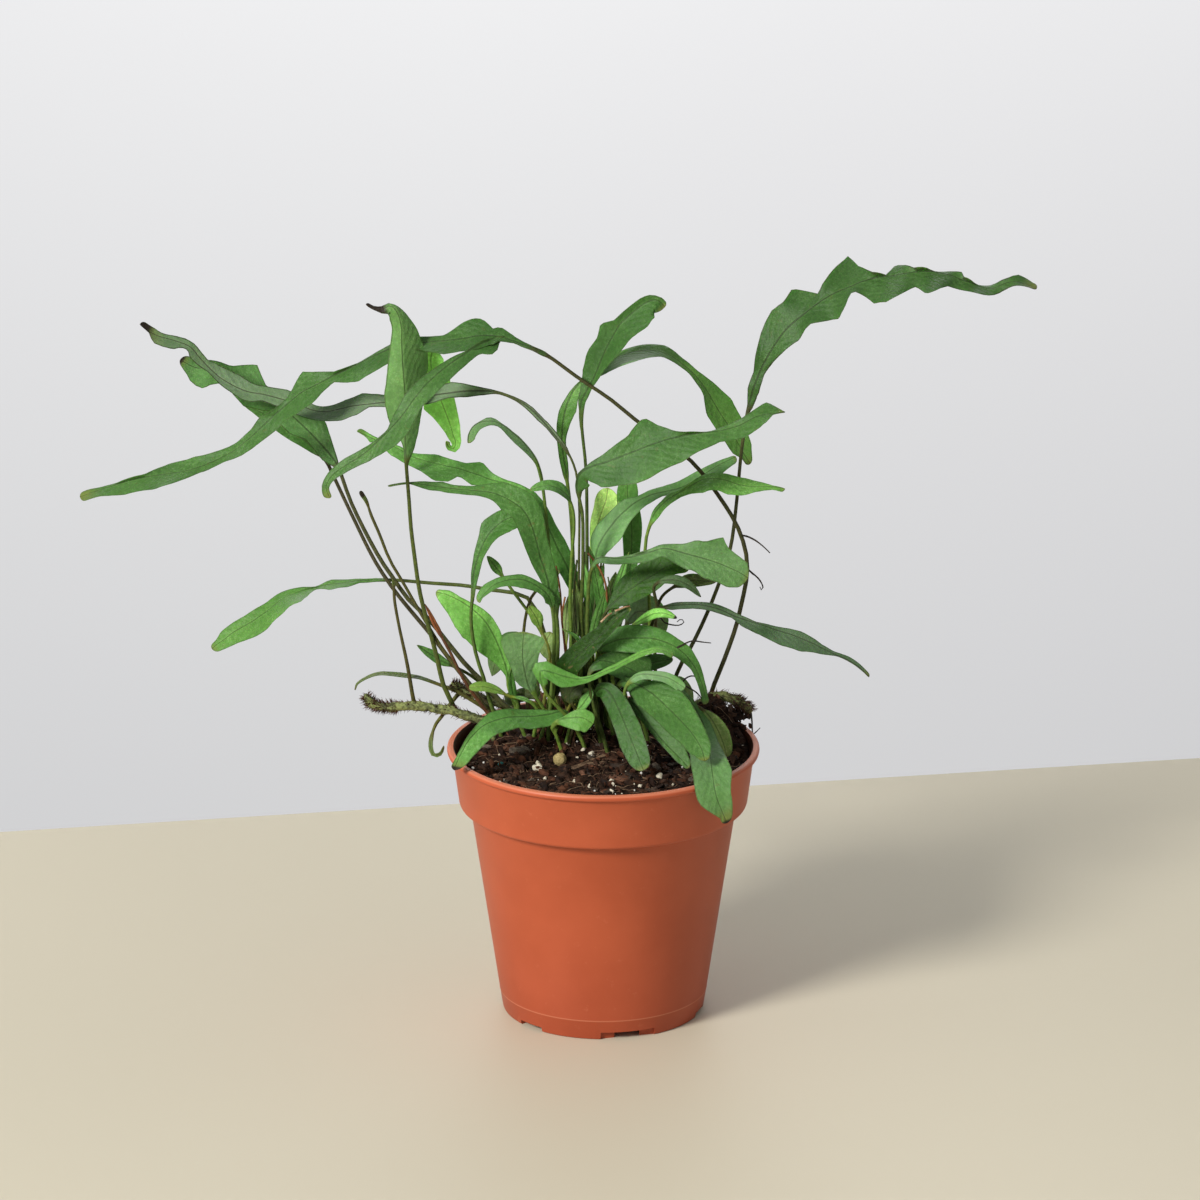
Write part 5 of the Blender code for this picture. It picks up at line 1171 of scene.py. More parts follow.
def leaf_finish(name, underside):
    """The blade's mottled green with its midrib, margin, spots and aged tip, and the stalk's brown."""
    leaf = Finish(name, roughness=0.42, specular=0.24)
    shader = leaf.shader.inputs
    shader["Subsurface Weight"].default_value = 0.22
    shader["Subsurface Radius"].default_value = (0.35, 1.0, 0.15)
    shader["Subsurface Scale"].default_value = 1.2 * MM
    along, across, reach = leaf.attribute("leaf")
    share, stalky, ageing = leaf.attribute("form")
    rim, spotted, stalk_green = leaf.attribute("wear")
    burnt, painted_sheen, _ = leaf.attribute("dry")
    tint = leaf.node("ShaderNodeAttribute", {"attribute_name": "tint"}, output="Color")
    distance = abs(across)
    clouds = leaf.noise(60.0, 3.0)
    pebbles = leaf.noise(520.0, 4.0, 0.62)
    grain = leaf.noise(1500.0, 3.0, 0.6)
    deep = leaf.times(tint, (0.74, 0.79, 0.72))
    light = leaf.times(tint, (1.26, 1.17, 1.22))
    green = leaf.mix((clouds * 0.7 + share * 0.3).rise(0.22, 0.72), deep, light)
    if underside:
        green = leaf.mix(0.45, green, GREY)
    mottled = leaf.mix(pebbles.rise(0.40, 0.56), leaf.times(green, (0.84, 0.87, 0.82)), green)
    # painted sheen: fine bright flecks, strongest in cloudy patches, stand for glints of light on the
    # pebbled surface
    painted_sheen_flecks = (pebbles * 0.4 + grain * 0.6).rise(0.52, 0.64) * (clouds.rise(0.42, 0.62) * 0.55 + 0.2)
    sheen_speckled = leaf.mix(painted_sheen_flecks, mottled, leaf.times(green, (1.9, 1.6, 2.3)))
    # painted sheen: patches of greyish white haze, as strong as the frond's bloom
    sheen_hazed = leaf.mix(painted_sheen * clouds.rise(0.1, 0.6), sheen_speckled, (0.26, 0.33, 0.24))
    quilts = ((along * 0.15 - distance * 0.30 + clouds * 2.2) * math.tau).sine()
    spots = leaf.noise(330.0, 2.0).rise(0.66, 0.72) * spotted
    spotty = leaf.mix(spots, sheen_hazed, (0.17, 0.12, 0.045))
    tip = (share + clouds * 0.06 - 1.03 + ageing).rise(0.0, 0.02 + ageing * 0.7)
    yellowed = leaf.mix(tip * 0.8, spotty, (0.19, 0.22, 0.045))
    margin = (reach - distance).rise(0.66, 0.20) * rim
    rimmed = leaf.mix(margin, yellowed, (0.028, 0.030, 0.012))
    rib_width = 0.62 - share * 0.34
    rib = distance.rise(rib_width, rib_width * 0.4)
    # painted highlight: a lighter strip each side of the midrib; with the dark midrib line, partly its
    # own colour and partly painted shade, it makes the midrib read as a groove
    rib_flank_highlight = distance.rise(rib_width * 3.2, rib_width * 1.4) * 0.30
    rib_flank_lit = leaf.mix(rib_flank_highlight, rimmed, leaf.times(rimmed, (1.5, 1.35, 1.4)))
    stalk = leaf.mix(stalk_green, STALK_BROWN, leaf.times(tint, (1.15, 0.80, 0.6)))
    streaks = leaf.noise(500.0, 2.0)
    stalk = leaf.mix(streaks.rise(0.4, 0.7) * 0.5, stalk, leaf.times(stalk, (1.8, 1.6, 1.3)))
    rib_colour = (0.030, 0.030, 0.013) if underside else (0.022, 0.034, 0.011)
    ribbed = leaf.mix(rib * (0.34 + rim * 0.42), rib_flank_lit, rib_colour)
    stalked = leaf.mix(stalky.rise(0.15, 0.85), ribbed, stalk)
    dry = (share + clouds * 0.04 - 1.02 + burnt).rise(0.0, 0.01 + burnt * 0.25) * burnt.rise(0.0, 0.02)
    leaf.colour(leaf.mix(dry, stalked, leaf.mix(grain, (0.009, 0.007, 0.005), (0.042, 0.028, 0.015))))
    base_roughness = 0.50 if underside else 0.34
    leaf.roughness(base_roughness + pebbles * 0.22 + stalky * 0.06)
    leaf.bump(pebbles + grain * 0.3 + quilts * 0.12 + rib * -0.3, 0.55 * MM, 0.8)
    return leaf


def bark_finish(name, dark, light, specular=0.4):
    """Rough bark: of a rhizome, a chip or a dead stalk."""
    bark = Finish(name, roughness=0.75, specular=specular)
    lumps = bark.noise(420.0, 4.0, 0.65)
    streaks = bark.noise(140.0, 2.0)
    bark.colour(bark.mix((lumps * 0.7 + streaks * 0.3).rise(0.35, 0.65), dark, light))
    bark.roughness(0.62 + lumps * 0.3)
    bark.bump(lumps, 0.5 * MM, 0.9)
    return bark


def plastic_finish(name, darkened_inside):
    """Moulded terracotta plastic, faintly clouded and grained, with painted light on its upper band and a
    painted highlight on its lip, or darkened unevenly to a near black brown for the inner faces.
    """
    plastic = Finish(name, roughness=0.4, specular=0.35)
    height = plastic.parts(plastic.place())[2]
    clouds = plastic.noise(28.0, 3.0)
    grain = plastic.noise(1600.0, 3.0)
    scuffs = plastic.noise(210.0, 5.0, 0.7).rise(0.60, 0.74)
    body = plastic.mix(clouds.rise(0.3, 0.7), (0.430, 0.080, 0.028), (0.480, 0.094, 0.035))
    scuffed = plastic.mix(scuffs * 0.22, body, (0.66, 0.22, 0.11))
    line = abs(height - PARTING_LINE * MM).rise(0.45 * MM, 0.15 * MM)
    deeper = plastic.times(scuffed, (0.86, 0.82, 0.84))
    toned = plastic.mix(height.rise(0.0, 75 * MM), deeper, scuffed)
    lined = plastic.mix(line * 0.35, toned, (0.75, 0.30, 0.17))
    # painted light: the band above 100 mm is made lighter, as it faces more of the key light
    band_painted_light = plastic.mix(height.rise(100 * MM, 108 * MM), lined, plastic.times(lined, (1.08, 1.1, 1.12)))
    # painted highlight: the lip's top edge is paler where the key light glints along it, less so on the
    # darkened inner faces
    edge = height.rise((POT_HEIGHT - 1.1) * MM, (POT_HEIGHT - 0.2) * MM)
    rim_highlighted = plastic.mix(edge * (0.45 - 0.3 * darkened_inside), band_painted_light, (0.85, 0.31, 0.17))
    # the inner faces are darkened unevenly towards a near black brown
    inner_darkening = (clouds * 0.5 + scuffs * 0.2).rise(0.8, 0.2) * darkened_inside
    plastic.colour(plastic.mix(inner_darkening, rim_highlighted, (0.060, 0.022, 0.011)))
    plastic.roughness(0.40 + clouds * 0.10 + scuffs * 0.12)
    plastic.bump(grain + clouds * 2.0, 0.03 * MM, 0.7)
    return plastic


def soil_finish():
    """Dark potting mix: wet brown crumbs with paler fibres between."""
    soil = Finish("potting_soil", roughness=0.9, specular=0.15)
    lumps = soil.noise(260.0, 6.0, 0.7)
    crumbs = soil.cells(620.0)
    fibres = soil.noise(900.0, 4.0, 0.7)
    brown = soil.mix(lumps.rise(0.35, 0.65), (0.007, 0.0035, 0.002), (0.044, 0.020, 0.011))
    crumbly = soil.mix(crumbs.rise(0.5, 0.1) * 0.4, brown, (0.075, 0.034, 0.018))
    soil.colour(soil.mix(fibres.rise(0.62, 0.74) * 0.45, crumbly, (0.17, 0.090, 0.050)))
    soil.roughness(0.75 + lumps * 0.25)
    soil.bump(lumps * 1.2 + crumbs * 0.8, 1.2 * MM, 1.0)
    return soil


def mineral_finish(name, dark, light):
    """Grit, perlite, a granule or the ball: porous and dull."""
    mineral = Finish(name, roughness=0.8)
    pores = mineral.noise(1500.0, 4.0, 0.6)
    mineral.colour(mineral.mix(pores.rise(0.35, 0.6), dark, light))
    mineral.roughness(0.7 + pores * 0.2)
    mineral.bump(pores, 0.25 * MM, 0.9)
    return mineral


def stage_finish(name, low, high):
    stage = Finish(name, roughness=0.6)
    across = stage.parts(stage.place())[0]
    clouds = stage.noise(1.1, 2.0)
    # painted light: the colour goes from low to high towards +X; the table is made lighter at the right,
    # where the key light falls off, and the wall a trace darker there
    stage.colour(stage.mix(across.rise(-0.25, 0.25) * 0.8 + clouds.rise(0.3, 0.7) * 0.2, low, high))
    return stage


# Building

def faces_of(verts):
    return {face for vert in verts for face in vert.link_faces}


def sleeve(shape, rings):
    """A smooth flat grid with a row for each ring and one more column than a ring has points."""
    made = bmesh.ops.create_grid(shape, x_segments=len(rings[0]), y_segments=len(rings) - 1, size=0.5)
    for face in faces_of(made["verts"]):
        face.smooth = True
    return made["verts"]


def close_sleeve(shape, verts, around):
    """Welds the seam of a sleeve whose points are set, and fills its two ends."""
    inner = verts[1:around] + verts[-around:-1]
    seam = [vert for number, vert in enumerate(verts) if number % (around + 1) in (0, around)]
    bmesh.ops.remove_doubles(shape, verts=seam, dist=0.0000001)
    ends = {edge for vert in inner for edge in vert.link_edges if edge.is_boundary}
    filled = bmesh.ops.edgeloop_fill(shape, edges=list(ends))
    for face in filled["faces"]:
        face.smooth = True


def tube(shape, line, radii, around=8, rough=0.0, rough_size=3.0):
    """A closed tube along the line, with its thickness roughened by a noise of this size."""
    tangents = np.gradient(np.array(line), axis=0)
    aside = Vector((0.3, 0.2, 0.93))
    rings = []
    for point, direction, radius in zip(line, tangents, radii):
        point = Vector(point)
        ahead = Vector(direction).normalized()
        aside = (aside - ahead * aside.dot(ahead)).normalized()
        across = ahead.cross(aside)
        ring = []
        for k in range(around):
            angle = math.tau * k / around
            out = aside * math.cos(angle) + across * math.sin(angle)
            corner = point + out * radius * MM
            swell = 1 + rough * noise.noise(corner / MM / rough_size)
            ring.append(point + out * radius * swell * MM)
        rings.append(ring)
    verts = sleeve(shape, rings)
    for number, vert in enumerate(verts):
        row, column = divmod(number, around + 1)
        vert.co = rings[row][column % around]
    close_sleeve(shape, verts, around)


def finished(name, shape, *finishes):
    """The shape as a piece of the plant, with its faces outwards."""
    bmesh.ops.recalc_face_normals(shape, faces=shape.faces)
    mesh = bpy.data.meshes.new(name)
    shape.to_mesh(mesh)
    shape.free()
    for finish in finishes:
        mesh.materials.append(finish.material)
    piece = bpy.data.objects.new(name, mesh)
    bpy.context.scene.collection.objects.link(piece)
    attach(piece, "root")
    return piece


# Fronds

class Station(NamedTuple):
    """A frond's section at one place: how it faces, how far it reaches and how leafy it is."""

    point: Vector
    side: Vector
    normal: Vector
    reach: tuple
    lift: tuple
    middle: float
    stem: float
    leafy: float
    share: float
    along: float


def rounding(course, share, size):
    """1 along the blade, falling round to 0 over the last millimetres before its tip."""
    left_over = (1 - share) * course.length / MM
    return math.sqrt(max(1 - (1 - min(left_over / size, 1.0)) ** 2, 0.01))


def reach_at(course, side, share):
    """How far the blade's outline reaches on this side: from nothing below its base to a round tip."""
    shares, reach = course.reaches[side]
    first = max(shares[0], 0.0)
    taper = BASE_TAPER * MM / course.length
    shares = np.concatenate([[first - taper, first - 0.4 * taper], shares])
    reach = np.concatenate([[0.3, 0.45 * reach[0]], reach])
    here = float(np.interp(share, shares, reach))
    return here * rounding(course, share, min(max(reach[-1], 1.5), 5.0))


def outline_start(course):
    """The share from which the blade is outlined: a little below where both its margins are given."""
    both = max([shares[0] for shares, _ in course.reaches], default=course.blade_share)
    return min(both, course.blade_share) - BASE_TAPER * MM / course.length


def station(frond, course, share):
    point, tangent = course.at(share)
    stem = STEM_RADIUS_LOW + (STEM_RADIUS_HIGH - STEM_RADIUS_LOW) * min(share / STEM_TAPERS_BY, 1.0)
    stem *= STOUT.get(frond.name, 1.0)
    start = course.blade_share
    t = (share - start) / (1 - start) if share > start else 0.0
    width = profile(t, frond.peak, frond.base, frond.tip) if share > start else 0.0
    stem *= 1 - 0.6 * t
    least = STEM_HALF_WIDTH * stem
    turn = math.radians(np.interp(t, np.linspace(0, 1, len(frond.turn)), frond.turn))
    half = 0.5 * frond.wide * width
    left = right = half
    outlined = bool(course.reaches) and share > outline_start(course)
    if outlined:
        left, right = (reach_at(course, side, share) for side in (0, 1))
        half = 0.5 * (left + right) / math.cos(turn)
    least *= rounding(course, share, 1.2)
    half = max(half, least)
    leafy = min(1.0, max(0.0, (half - stem) / (1.4 * stem)))
    middle = max(0.3, stem * (1 - leafy) + 0.5 * MIDRIB_THICKNESS * leafy * (1 - 0.4 * t))
    in_picture = TO_EYE.cross(tangent).normalized()
    facing = tangent.cross(in_picture)
    side = in_picture * math.cos(turn) + facing * math.sin(turn)
    swing = frond.wave * leafy * max(math.sin(math.pi * t), 0.0) ** 0.5
    lift_left = frond.fold * half * leafy + swing * math.sin(math.tau * frond.waves * t)
    lift_right = frond.fold * half * leafy + swing * math.sin(math.tau * (frond.waves * t + WAVE_LAG))
    half_left = half_right = half
    if outlined:
        half_left = max((right - lift_left * math.sin(turn)) / math.cos(turn), least)
        half_right = max((left + lift_right * math.sin(turn)) / math.cos(turn), least)
    along = (share - start) * course.length / MM
    return Station(point, side, tangent.cross(side), (half_left, half_right), (lift_left, lift_right),
                   middle, stem, leafy, t, along)


def section(place, seed):
    """The station's points from the left margin over the upper face and back below, with their places."""
    last = len(COLUMNS) - 1
    upper = []
    lower = []
    for step, column in enumerate(COLUMNS):
        even = -math.cos(math.pi * step / last)
        column = even + (column - even) * place.leafy
        reach = place.reach[column > 0]
        spread = Vector((place.along / 5.0, 7.0 * (column > 0), seed))
        jitter = MARGIN_JITTER * place.leafy * noise.noise(spread) * abs(column) ** 4
        across = column * reach + math.copysign(jitter, column)
        rise = place.lift[column > 0] * abs(column) ** CREASE
        patch = Vector((place.along / PUCKER_SIZE, across / PUCKER_SIZE, seed))
        rise += PUCKER * place.leafy * noise.noise(patch)
        blade = 0.5 * BLADE_THICKNESS * (1 - column ** 6)
        rib = (place.middle - 0.5 * BLADE_THICKNESS) * math.exp(-((across / MIDRIB_HALF_WIDTH) ** 2))
        round_stem = place.stem * math.sqrt(max(1 - column * column, 0.0))
        over = round_stem * (1 - place.leafy) + (blade + 0.35 * rib) * place.leafy
        under = round_stem * (1 - place.leafy) + (blade + 1.3 * rib) * place.leafy
        high = place.point + (place.side * across + place.normal * (rise + over)) * MM
        upper.append((high, across, reach))
        if 0 < step < last:
            low = place.point + (place.side * across + place.normal * (rise - under)) * MM
            lower.append((low, across, reach))
    return upper + lower[::-1]


def blade_shares(course):
    """The stations' shares: closer where the blade starts and where its tip is rounded off."""
    shares = list(course.stations(BLADE_STEP, STEM_STEP))
    millimetre = MM / course.length
    if course.blade_share:
        shares += list(np.arange(outline_start(course), course.blade_share, BLADE_STEP * millimetre))
    shares += [1 - k * millimetre for k in (0.15, 0.4, 0.8, 1.3, 2.0, 3.0)]
    return sorted({round(float(share), 5) for share in shares if 0 <= share <= 1})


def add_blade(shape, frond, course, look, seed):
    """A frond's stalk and blade as one closed sleeve, with what its finish reads at each vertex."""
    places = [station(frond, course, share) for share in blade_shares(course)]
    sections = [section(place, seed) for place in places]
    around = len(sections[0])
    verts = sleeve(shape, sections)
    margin = (0, len(COLUMNS) - 1, around)
    for face in faces_of(verts):
        column = int((face.calc_center_median().x + 0.5) * around)
        upper = column < len(COLUMNS) - 1
        face.material_index = int(upper == look.turned)
    layers = shape.verts.layers.float_vector
    leaf, form, wear, tint, dry = (layers[name] for name in ATTRIBUTES)
    for number, vert in enumerate(verts):
        row, column = divmod(number, around + 1)
        point, across, reach = sections[row][column % around]
        place = places[row]
        vert.co = point
        vert[leaf] = (place.along, across, reach)
        vert[form] = (place.share, 1 - place.leafy, look.ageing)
        vert[wear] = (look.rim, look.spots, look.stalk)
        # the tint carries the gain's painted light and painted shade
        vert[tint] = [part * look.gain for part in look.green]
        # the dry attribute holds the brown dry tip, then the painted sheen
        vert[dry] = (look.burnt, look.painted_sheen, 0.0)
        if column in margin and row and place.leafy > 0.5:
            before = verts[number - around - 1]
            for edge in vert.link_edges:
                if edge.other_vert(vert) is before:
                    edge.smooth = False
    close_sleeve(shape, verts, around)


def new_blade_shape():
    shape = bmesh.new()
    for name in ATTRIBUTES:
        shape.verts.layers.float_vector.new(name)
    return shape


def branch_of(frond, course, branch):
    """A branch of the forked blade, from inside the blade that it leaves."""
    share, picture, depth, turn, edges = branch
    inside, _ = course.at(share)
    branch_course = Course([inside - TO_EYE * 1.2 * MM, *picture_course(None, picture, depth)], 0)
    branch_course.reaches = [edge_reach(branch_course, edge) for edge in edges]
    return frond._replace(turn=turn, wave=0.6, waves=3), branch_course


def dress_fronds(upper, lower):
    for seed, frond in enumerate(FRONDS):
        look = LOOKS[frond.name]
        shape = new_blade_shape()
        course = frond_course(frond)
        add_blade(shape, frond, course, look, SEED_STEP * seed)
        if frond.name == "frond_forked":
            front_look = look._replace(stalk=0.95)
            for branch, branch_look in ((FORK_FRONT, front_look), (FORK_BACK, BACK_BRANCH_LOOK)):
                form, branch_course = branch_of(frond, course, branch)
                add_blade(shape, form, branch_course, branch_look, BRANCH_SEED + branch_look.gain)
        piece = finished(frond.name.replace("frond_", "leaf_"), shape, upper, lower)
        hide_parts(frond.name)


def dress_shoots(shoots, looks, seed, upper, lower):
    """The young stalks in the middle, with the leaf finishes."""
    for number, shoot in enumerate(shoots):
        look = looks[number % len(looks)]
        shape = new_blade_shape()
        add_blade(shape, shoot, frond_course(shoot), look, seed + number)
        finished(shoot.name, shape, upper, lower)


# Rhizomes, stalks and hairs

def rhizome_line(rhizome):
    points = picture_course(rhizome.root, rhizome.course, rhizome.depth)
    line, _, length = smooth_course(points)
    count = int(length / MM / 0.8)
    return [line[int(k / (count - 1) * (len(line) - 1))] for k in range(count)]


def rhizome_radius(share, radius):
    """Lumpy along its length and rounded off at the growing tip."""
    lumps = 1 + LUMP_SHARE * math.sin(share * math.tau * LUMPS)
    past = max(0.0, (share - TIP_ROUNDS_FROM) / (1 - TIP_ROUNDS_FROM))
    return radius * lumps * max(math.sqrt(1 - min(past, 1.0) ** 2), LEAST_TIP)


def add_hair(shape, foot, direction, length, radius):
    """One fine tapered hair or scale, in the piece's second finish."""
    turn = direction.to_track_quat("Z", "Y").to_matrix().to_4x4()
    place = Matrix.Translation(foot + direction * length * 0.5 * MM) @ turn
    made = bmesh.ops.create_cone(shape, cap_ends=True, segments=3, radius1=radius * MM,
                                 radius2=radius * 0.25 * MM, depth=length * MM, matrix=place)
    for face in faces_of(made["verts"]):
        face.material_index = 1


def dress_rhizomes(bark, hair):
    for number, rhizome in enumerate(RHIZOMES):
        dice = random.Random(40 + number)
        line = rhizome_line(rhizome)
        radii = [rhizome_radius(k / (len(line) - 1), rhizome.radius) for k in range(len(line))]

        def add(batch):
            share = dice.random()
            share = share if dice.random() < 0.5 else 1 - 0.22 * dice.random()
            at = min(int(share * (len(line) - 1)), len(line) - 2)
            ahead = (Vector(line[at + 1]) - Vector(line[at])).normalized()
            out = Vector((dice.gauss(0, 1), dice.gauss(0, 1), dice.gauss(0, 1)))
            out = (out - ahead * out.dot(ahead)).normalized()
            foot = Vector(line[at]) + out * radii[at] * 0.92 * MM
            lean = (out + ahead * dice.uniform(0.1, 1.3)).normalized()
            length = dice.uniform(1.2, 3.0) if share > 0.8 else dice.uniform(0.8, 2.6)
            add_hair(batch, foot, lean, length, dice.uniform(0.12, 0.26))

        shape = pile(HAIRS, add)
        tube(shape, line, radii, around=18, rough=0.22, rough_size=2.2)
        piece = finished(rhizome.name.replace("rhizome", "creeping_rhizome"), shape, bark, hair)
        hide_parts(rhizome.name)


def nearest_on(line, pixel):
    """The point of the line that falls nearest to this picture point."""
    def away(point):
        across, down, _ = pictured(point)
        return math.hypot(across - pixel[0], down - pixel[1])

    return Vector(min(line, key=away))


def strand_line(strand):
    points = picture_course(strand.root, strand.picture, strand.depth)
    if strand.leaves:
        owners = {frond.name: frond for frond in FRONDS}
        if strand.leaves in owners:
            line = frond_course(owners[strand.leaves]).line
        else:
            line = rhizome_line(next(r for r in RHIZOMES if r.name == strand.leaves))
        points[0] = nearest_on(line, strand.picture[:2])
    line, _, length = smooth_course(points)
    count = max(6, int(length / MM / 1.5))
    return [line[int(k / (count - 1) * (len(line) - 1))] for k in range(count)]


def dress_strands(finishes):
    for strand in STRANDS:
        line = strand_line(strand)
        radii = np.linspace(strand.radii[0], strand.radii[1], len(line))
        shape = bmesh.new()
        tube(shape, line, radii, around=8, rough=0.25, rough_size=1.6)
        piece = finished(strand.name, shape, finishes[strand.finish])


def dress_stubs(finish):
    """The brown crown: stubs and scaly bases of old fronds among the living ones."""
    dice = random.Random(17)
    shape = bmesh.new()
    for number in range(STUBS):
        crown = number < CROWN_STUBS
        x = dice.gauss(-19, 4) if crown else dice.uniform(-34, 30)
        y = dice.gauss(11, 4) if crown else dice.uniform(8, 46)
        low = Vector((x, y, soil_height(x, y) - 3))
        lean = Vector((dice.gauss(0, 0.22), dice.gauss(0, 0.22), 1))
        height = dice.uniform(9, 22) if crown else dice.uniform(5, 14)
        line = [np.array((low + lean * height * k / 6) * MM) for k in range(7)]
        base = dice.uniform(0.7, 1.5)
        tube(shape, line, np.linspace(base, base * 0.45, 7), around=8, rough=0.3, rough_size=2.0)
    finished("old_stubs", shape, finish)


# The pot

def pot_section():
    """The pot's section from the axis under the floor, up the outside and down the inside."""
    top = POT_HEIGHT
    slope = (BODY_TOP_RADIUS - BASE_RADIUS) / BAND_BOTTOM
    return (
        (0, 0), (PAD_RADIUS, 0), (PAD_RADIUS + 0.5, FLOOR_UNDER),
        (BASE_RADIUS - FOOT_WIDTH - 0.4, FLOOR_UNDER), (BASE_RADIUS - FOOT_WIDTH, 0.2),
        (BASE_RADIUS - FOOT_WIDTH + 0.2, 0), (BASE_RADIUS - 1.0, 0), (BASE_RADIUS - 0.3, 0.3),
        (BASE_RADIUS, 1.0), (BASE_RADIUS + slope * (PARTING_LINE - 0.5), PARTING_LINE - 0.5),
        (BASE_RADIUS + slope * PARTING_LINE + 0.12, PARTING_LINE),
        (BASE_RADIUS + slope * (PARTING_LINE + 0.5), PARTING_LINE + 0.5),
        (BASE_RADIUS + slope * 50, 50), (BODY_TOP_RADIUS - 0.1, BAND_BOTTOM - 1.2),
        (BODY_TOP_RADIUS + 0.4, BAND_BOTTOM - 0.3), (BODY_TOP_RADIUS + 1.0, BAND_BOTTOM),
        (BAND_BOTTOM_RADIUS - 2.0, BAND_BOTTOM + 0.05), (BAND_BOTTOM_RADIUS - 1.0, BAND_BOTTOM + 0.35),
        (BAND_BOTTOM_RADIUS - 0.35, BAND_BOTTOM + 1.0), (BAND_BOTTOM_RADIUS, BAND_BOTTOM + 2.0),
        (BAND_TOP_RADIUS, top - LIP_HEIGHT - 0.6), (BAND_TOP_RADIUS + 0.4, top - LIP_HEIGHT - 0.1),
        (RIM_RADIUS - 0.8, top - LIP_HEIGHT + 0.2), (RIM_RADIUS - 0.2, top - LIP_HEIGHT + 0.7),
        (RIM_RADIUS, top - 1.5), (RIM_RADIUS - 0.2, top - 0.6), (RIM_RADIUS - 0.7, top - 0.12),
        (RIM_RADIUS - 1.3, top), (BAND_TOP_RADIUS - 0.4, top), (BAND_TOP_RADIUS - 0.9, top - 0.4),
        (BAND_TOP_RADIUS - WALL, top - LIP_HEIGHT), (BAND_BOTTOM_RADIUS - WALL, INNER_SHELF),
        (BODY_TOP_RADIUS - WALL, INNER_SHELF - 2 * WALL),
        (BASE_RADIUS - WALL + slope * 5, FLOOR_UNDER + WALL), (0, FLOOR_UNDER + WALL),
    )


def spun(section, steps):
    """The section, in millimetres, spun once about the Z axis."""
    shape = bmesh.new()
    verts = [shape.verts.new((radius * MM, 0, height * MM)) for radius, height in section]
    edges = [shape.edges.new(pair) for pair in zip(verts, verts[1:])]
    bmesh.ops.spin(shape, geom=verts + edges, cent=(0, 0, 0), axis=(0, 0, 1), angle=math.tau,
                   steps=steps, use_merge=True)
    bmesh.ops.remove_doubles(shape, verts=shape.verts, dist=0.00001)
    return shape


def turned_box(cutters, size, centre, angle):
    """A box that stands at a radius along -Y and is then turned about the pot's axis."""
    box = bmesh.new()
    bmesh.ops.create_cube(box, size=MM)
    bmesh.ops.scale(box, vec=size, verts=box.verts)
    bmesh.ops.translate(box, vec=Vector(centre) * MM, verts=box.verts)
    bmesh.ops.bevel(box, geom=box.edges, offset=0.35 * MM, offset_type="OFFSET", segments=3,
                    profile=0.5, affect="EDGES", material=-1)
    bmesh.ops.rotate(box, cent=(0, 0, 0), matrix=Matrix.Rotation(angle, 3, "Z"), verts=box.verts)
    add_cutter(cutters, box)


def add_cutter(cutters, shape):
    mesh = bpy.data.meshes.new("cutter")
    shape.to_mesh(mesh)
    shape.free()
    cutters.objects.link(bpy.data.objects.new("cutter", mesh))


def foot_cutters():
    """The notches, recesses and drain holes, to be cut from the pot's foot."""
    cutters = bpy.data.collections.new("foot_cutters")
    bpy.context.scene.collection.children.link(cutters)
    over = 1.0
    for k in range(NOTCHES):
        angle = FIRST_NOTCH + k * math.tau / NOTCHES
        if k % 2:
            height = (LOW_NOTCH_HEIGHT - over) / 2
            opening = (LOW_NOTCH_WIDTH, 4 * FOOT_WIDTH, LOW_NOTCH_HEIGHT + over)
            turned_box(cutters, opening, (0, -BASE_RADIUS, height), angle)
            continue
        height = (NOTCH_HEIGHT - over) / 2
        opening = (NOTCH_WIDTH, 4 * FOOT_WIDTH, NOTCH_HEIGHT + over)
        turned_box(cutters, opening, (0, -BASE_RADIUS, height), angle)
        inset = -BASE_RADIUS * math.cos(RECESS_WIDTH / 2 / BASE_RADIUS) + RECESS_DEPTH - 2
        turned_box(cutters, (RECESS_WIDTH, 4, NOTCH_HEIGHT + over), (0, inset, height), angle)
        drain = bmesh.new()
        bmesh.ops.create_cone(drain, cap_ends=True, segments=24, radius1=DRAIN_RADIUS * MM,
                              radius2=DRAIN_RADIUS * MM, depth=4 * WALL * MM)
        aside = angle + math.tau / NOTCHES / 2
        centre = (DRAINS_AT * math.sin(aside), -DRAINS_AT * math.cos(aside), FLOOR_UNDER + WALL / 2)
        bmesh.ops.translate(drain, vec=Vector(centre) * MM, verts=drain.verts)
        add_cutter(cutters, drain)
    return cutters


def dress_pot(plastic, darkened_inside):
    """The pot in clean plastic, with the darkened one on its inner faces."""
    shape = spun(pot_section(), POT_STEPS)
    bmesh.ops.recalc_face_normals(shape, faces=shape.faces)
    for face in shape.faces:
        face.smooth = True
        centre = face.calc_center_median()
        inward = face.normal.x * centre.x + face.normal.y * centre.y < 0
        by_lip = centre.xy.length < (BAND_TOP_RADIUS - 0.5) * MM and centre.z > (POT_HEIGHT - 1) * MM
        face.material_index = int((inward or by_lip) and centre.z > FLOOR_UNDER * 2 * MM)
    pot = finished("nursery_pot", shape, plastic, darkened_inside)
    cutters = foot_cutters()
    cut = pot.modifiers.new("foot", "BOOLEAN")
    cut.operand_type = "COLLECTION"
    cut.collection = cutters
    cut.solver = "EXACT"
    graph = bpy.context.evaluated_depsgraph_get()
    pot.data = bpy.data.meshes.new_from_object(pot.evaluated_get(graph))
    pot.modifiers.clear()
    for cutter in list(cutters.objects):
        bpy.data.objects.remove(cutter)
    bpy.data.collections.remove(cutters)
    pot.data.set_sharp_from_angle(angle=math.radians(38))
    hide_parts("pot")


# The soil

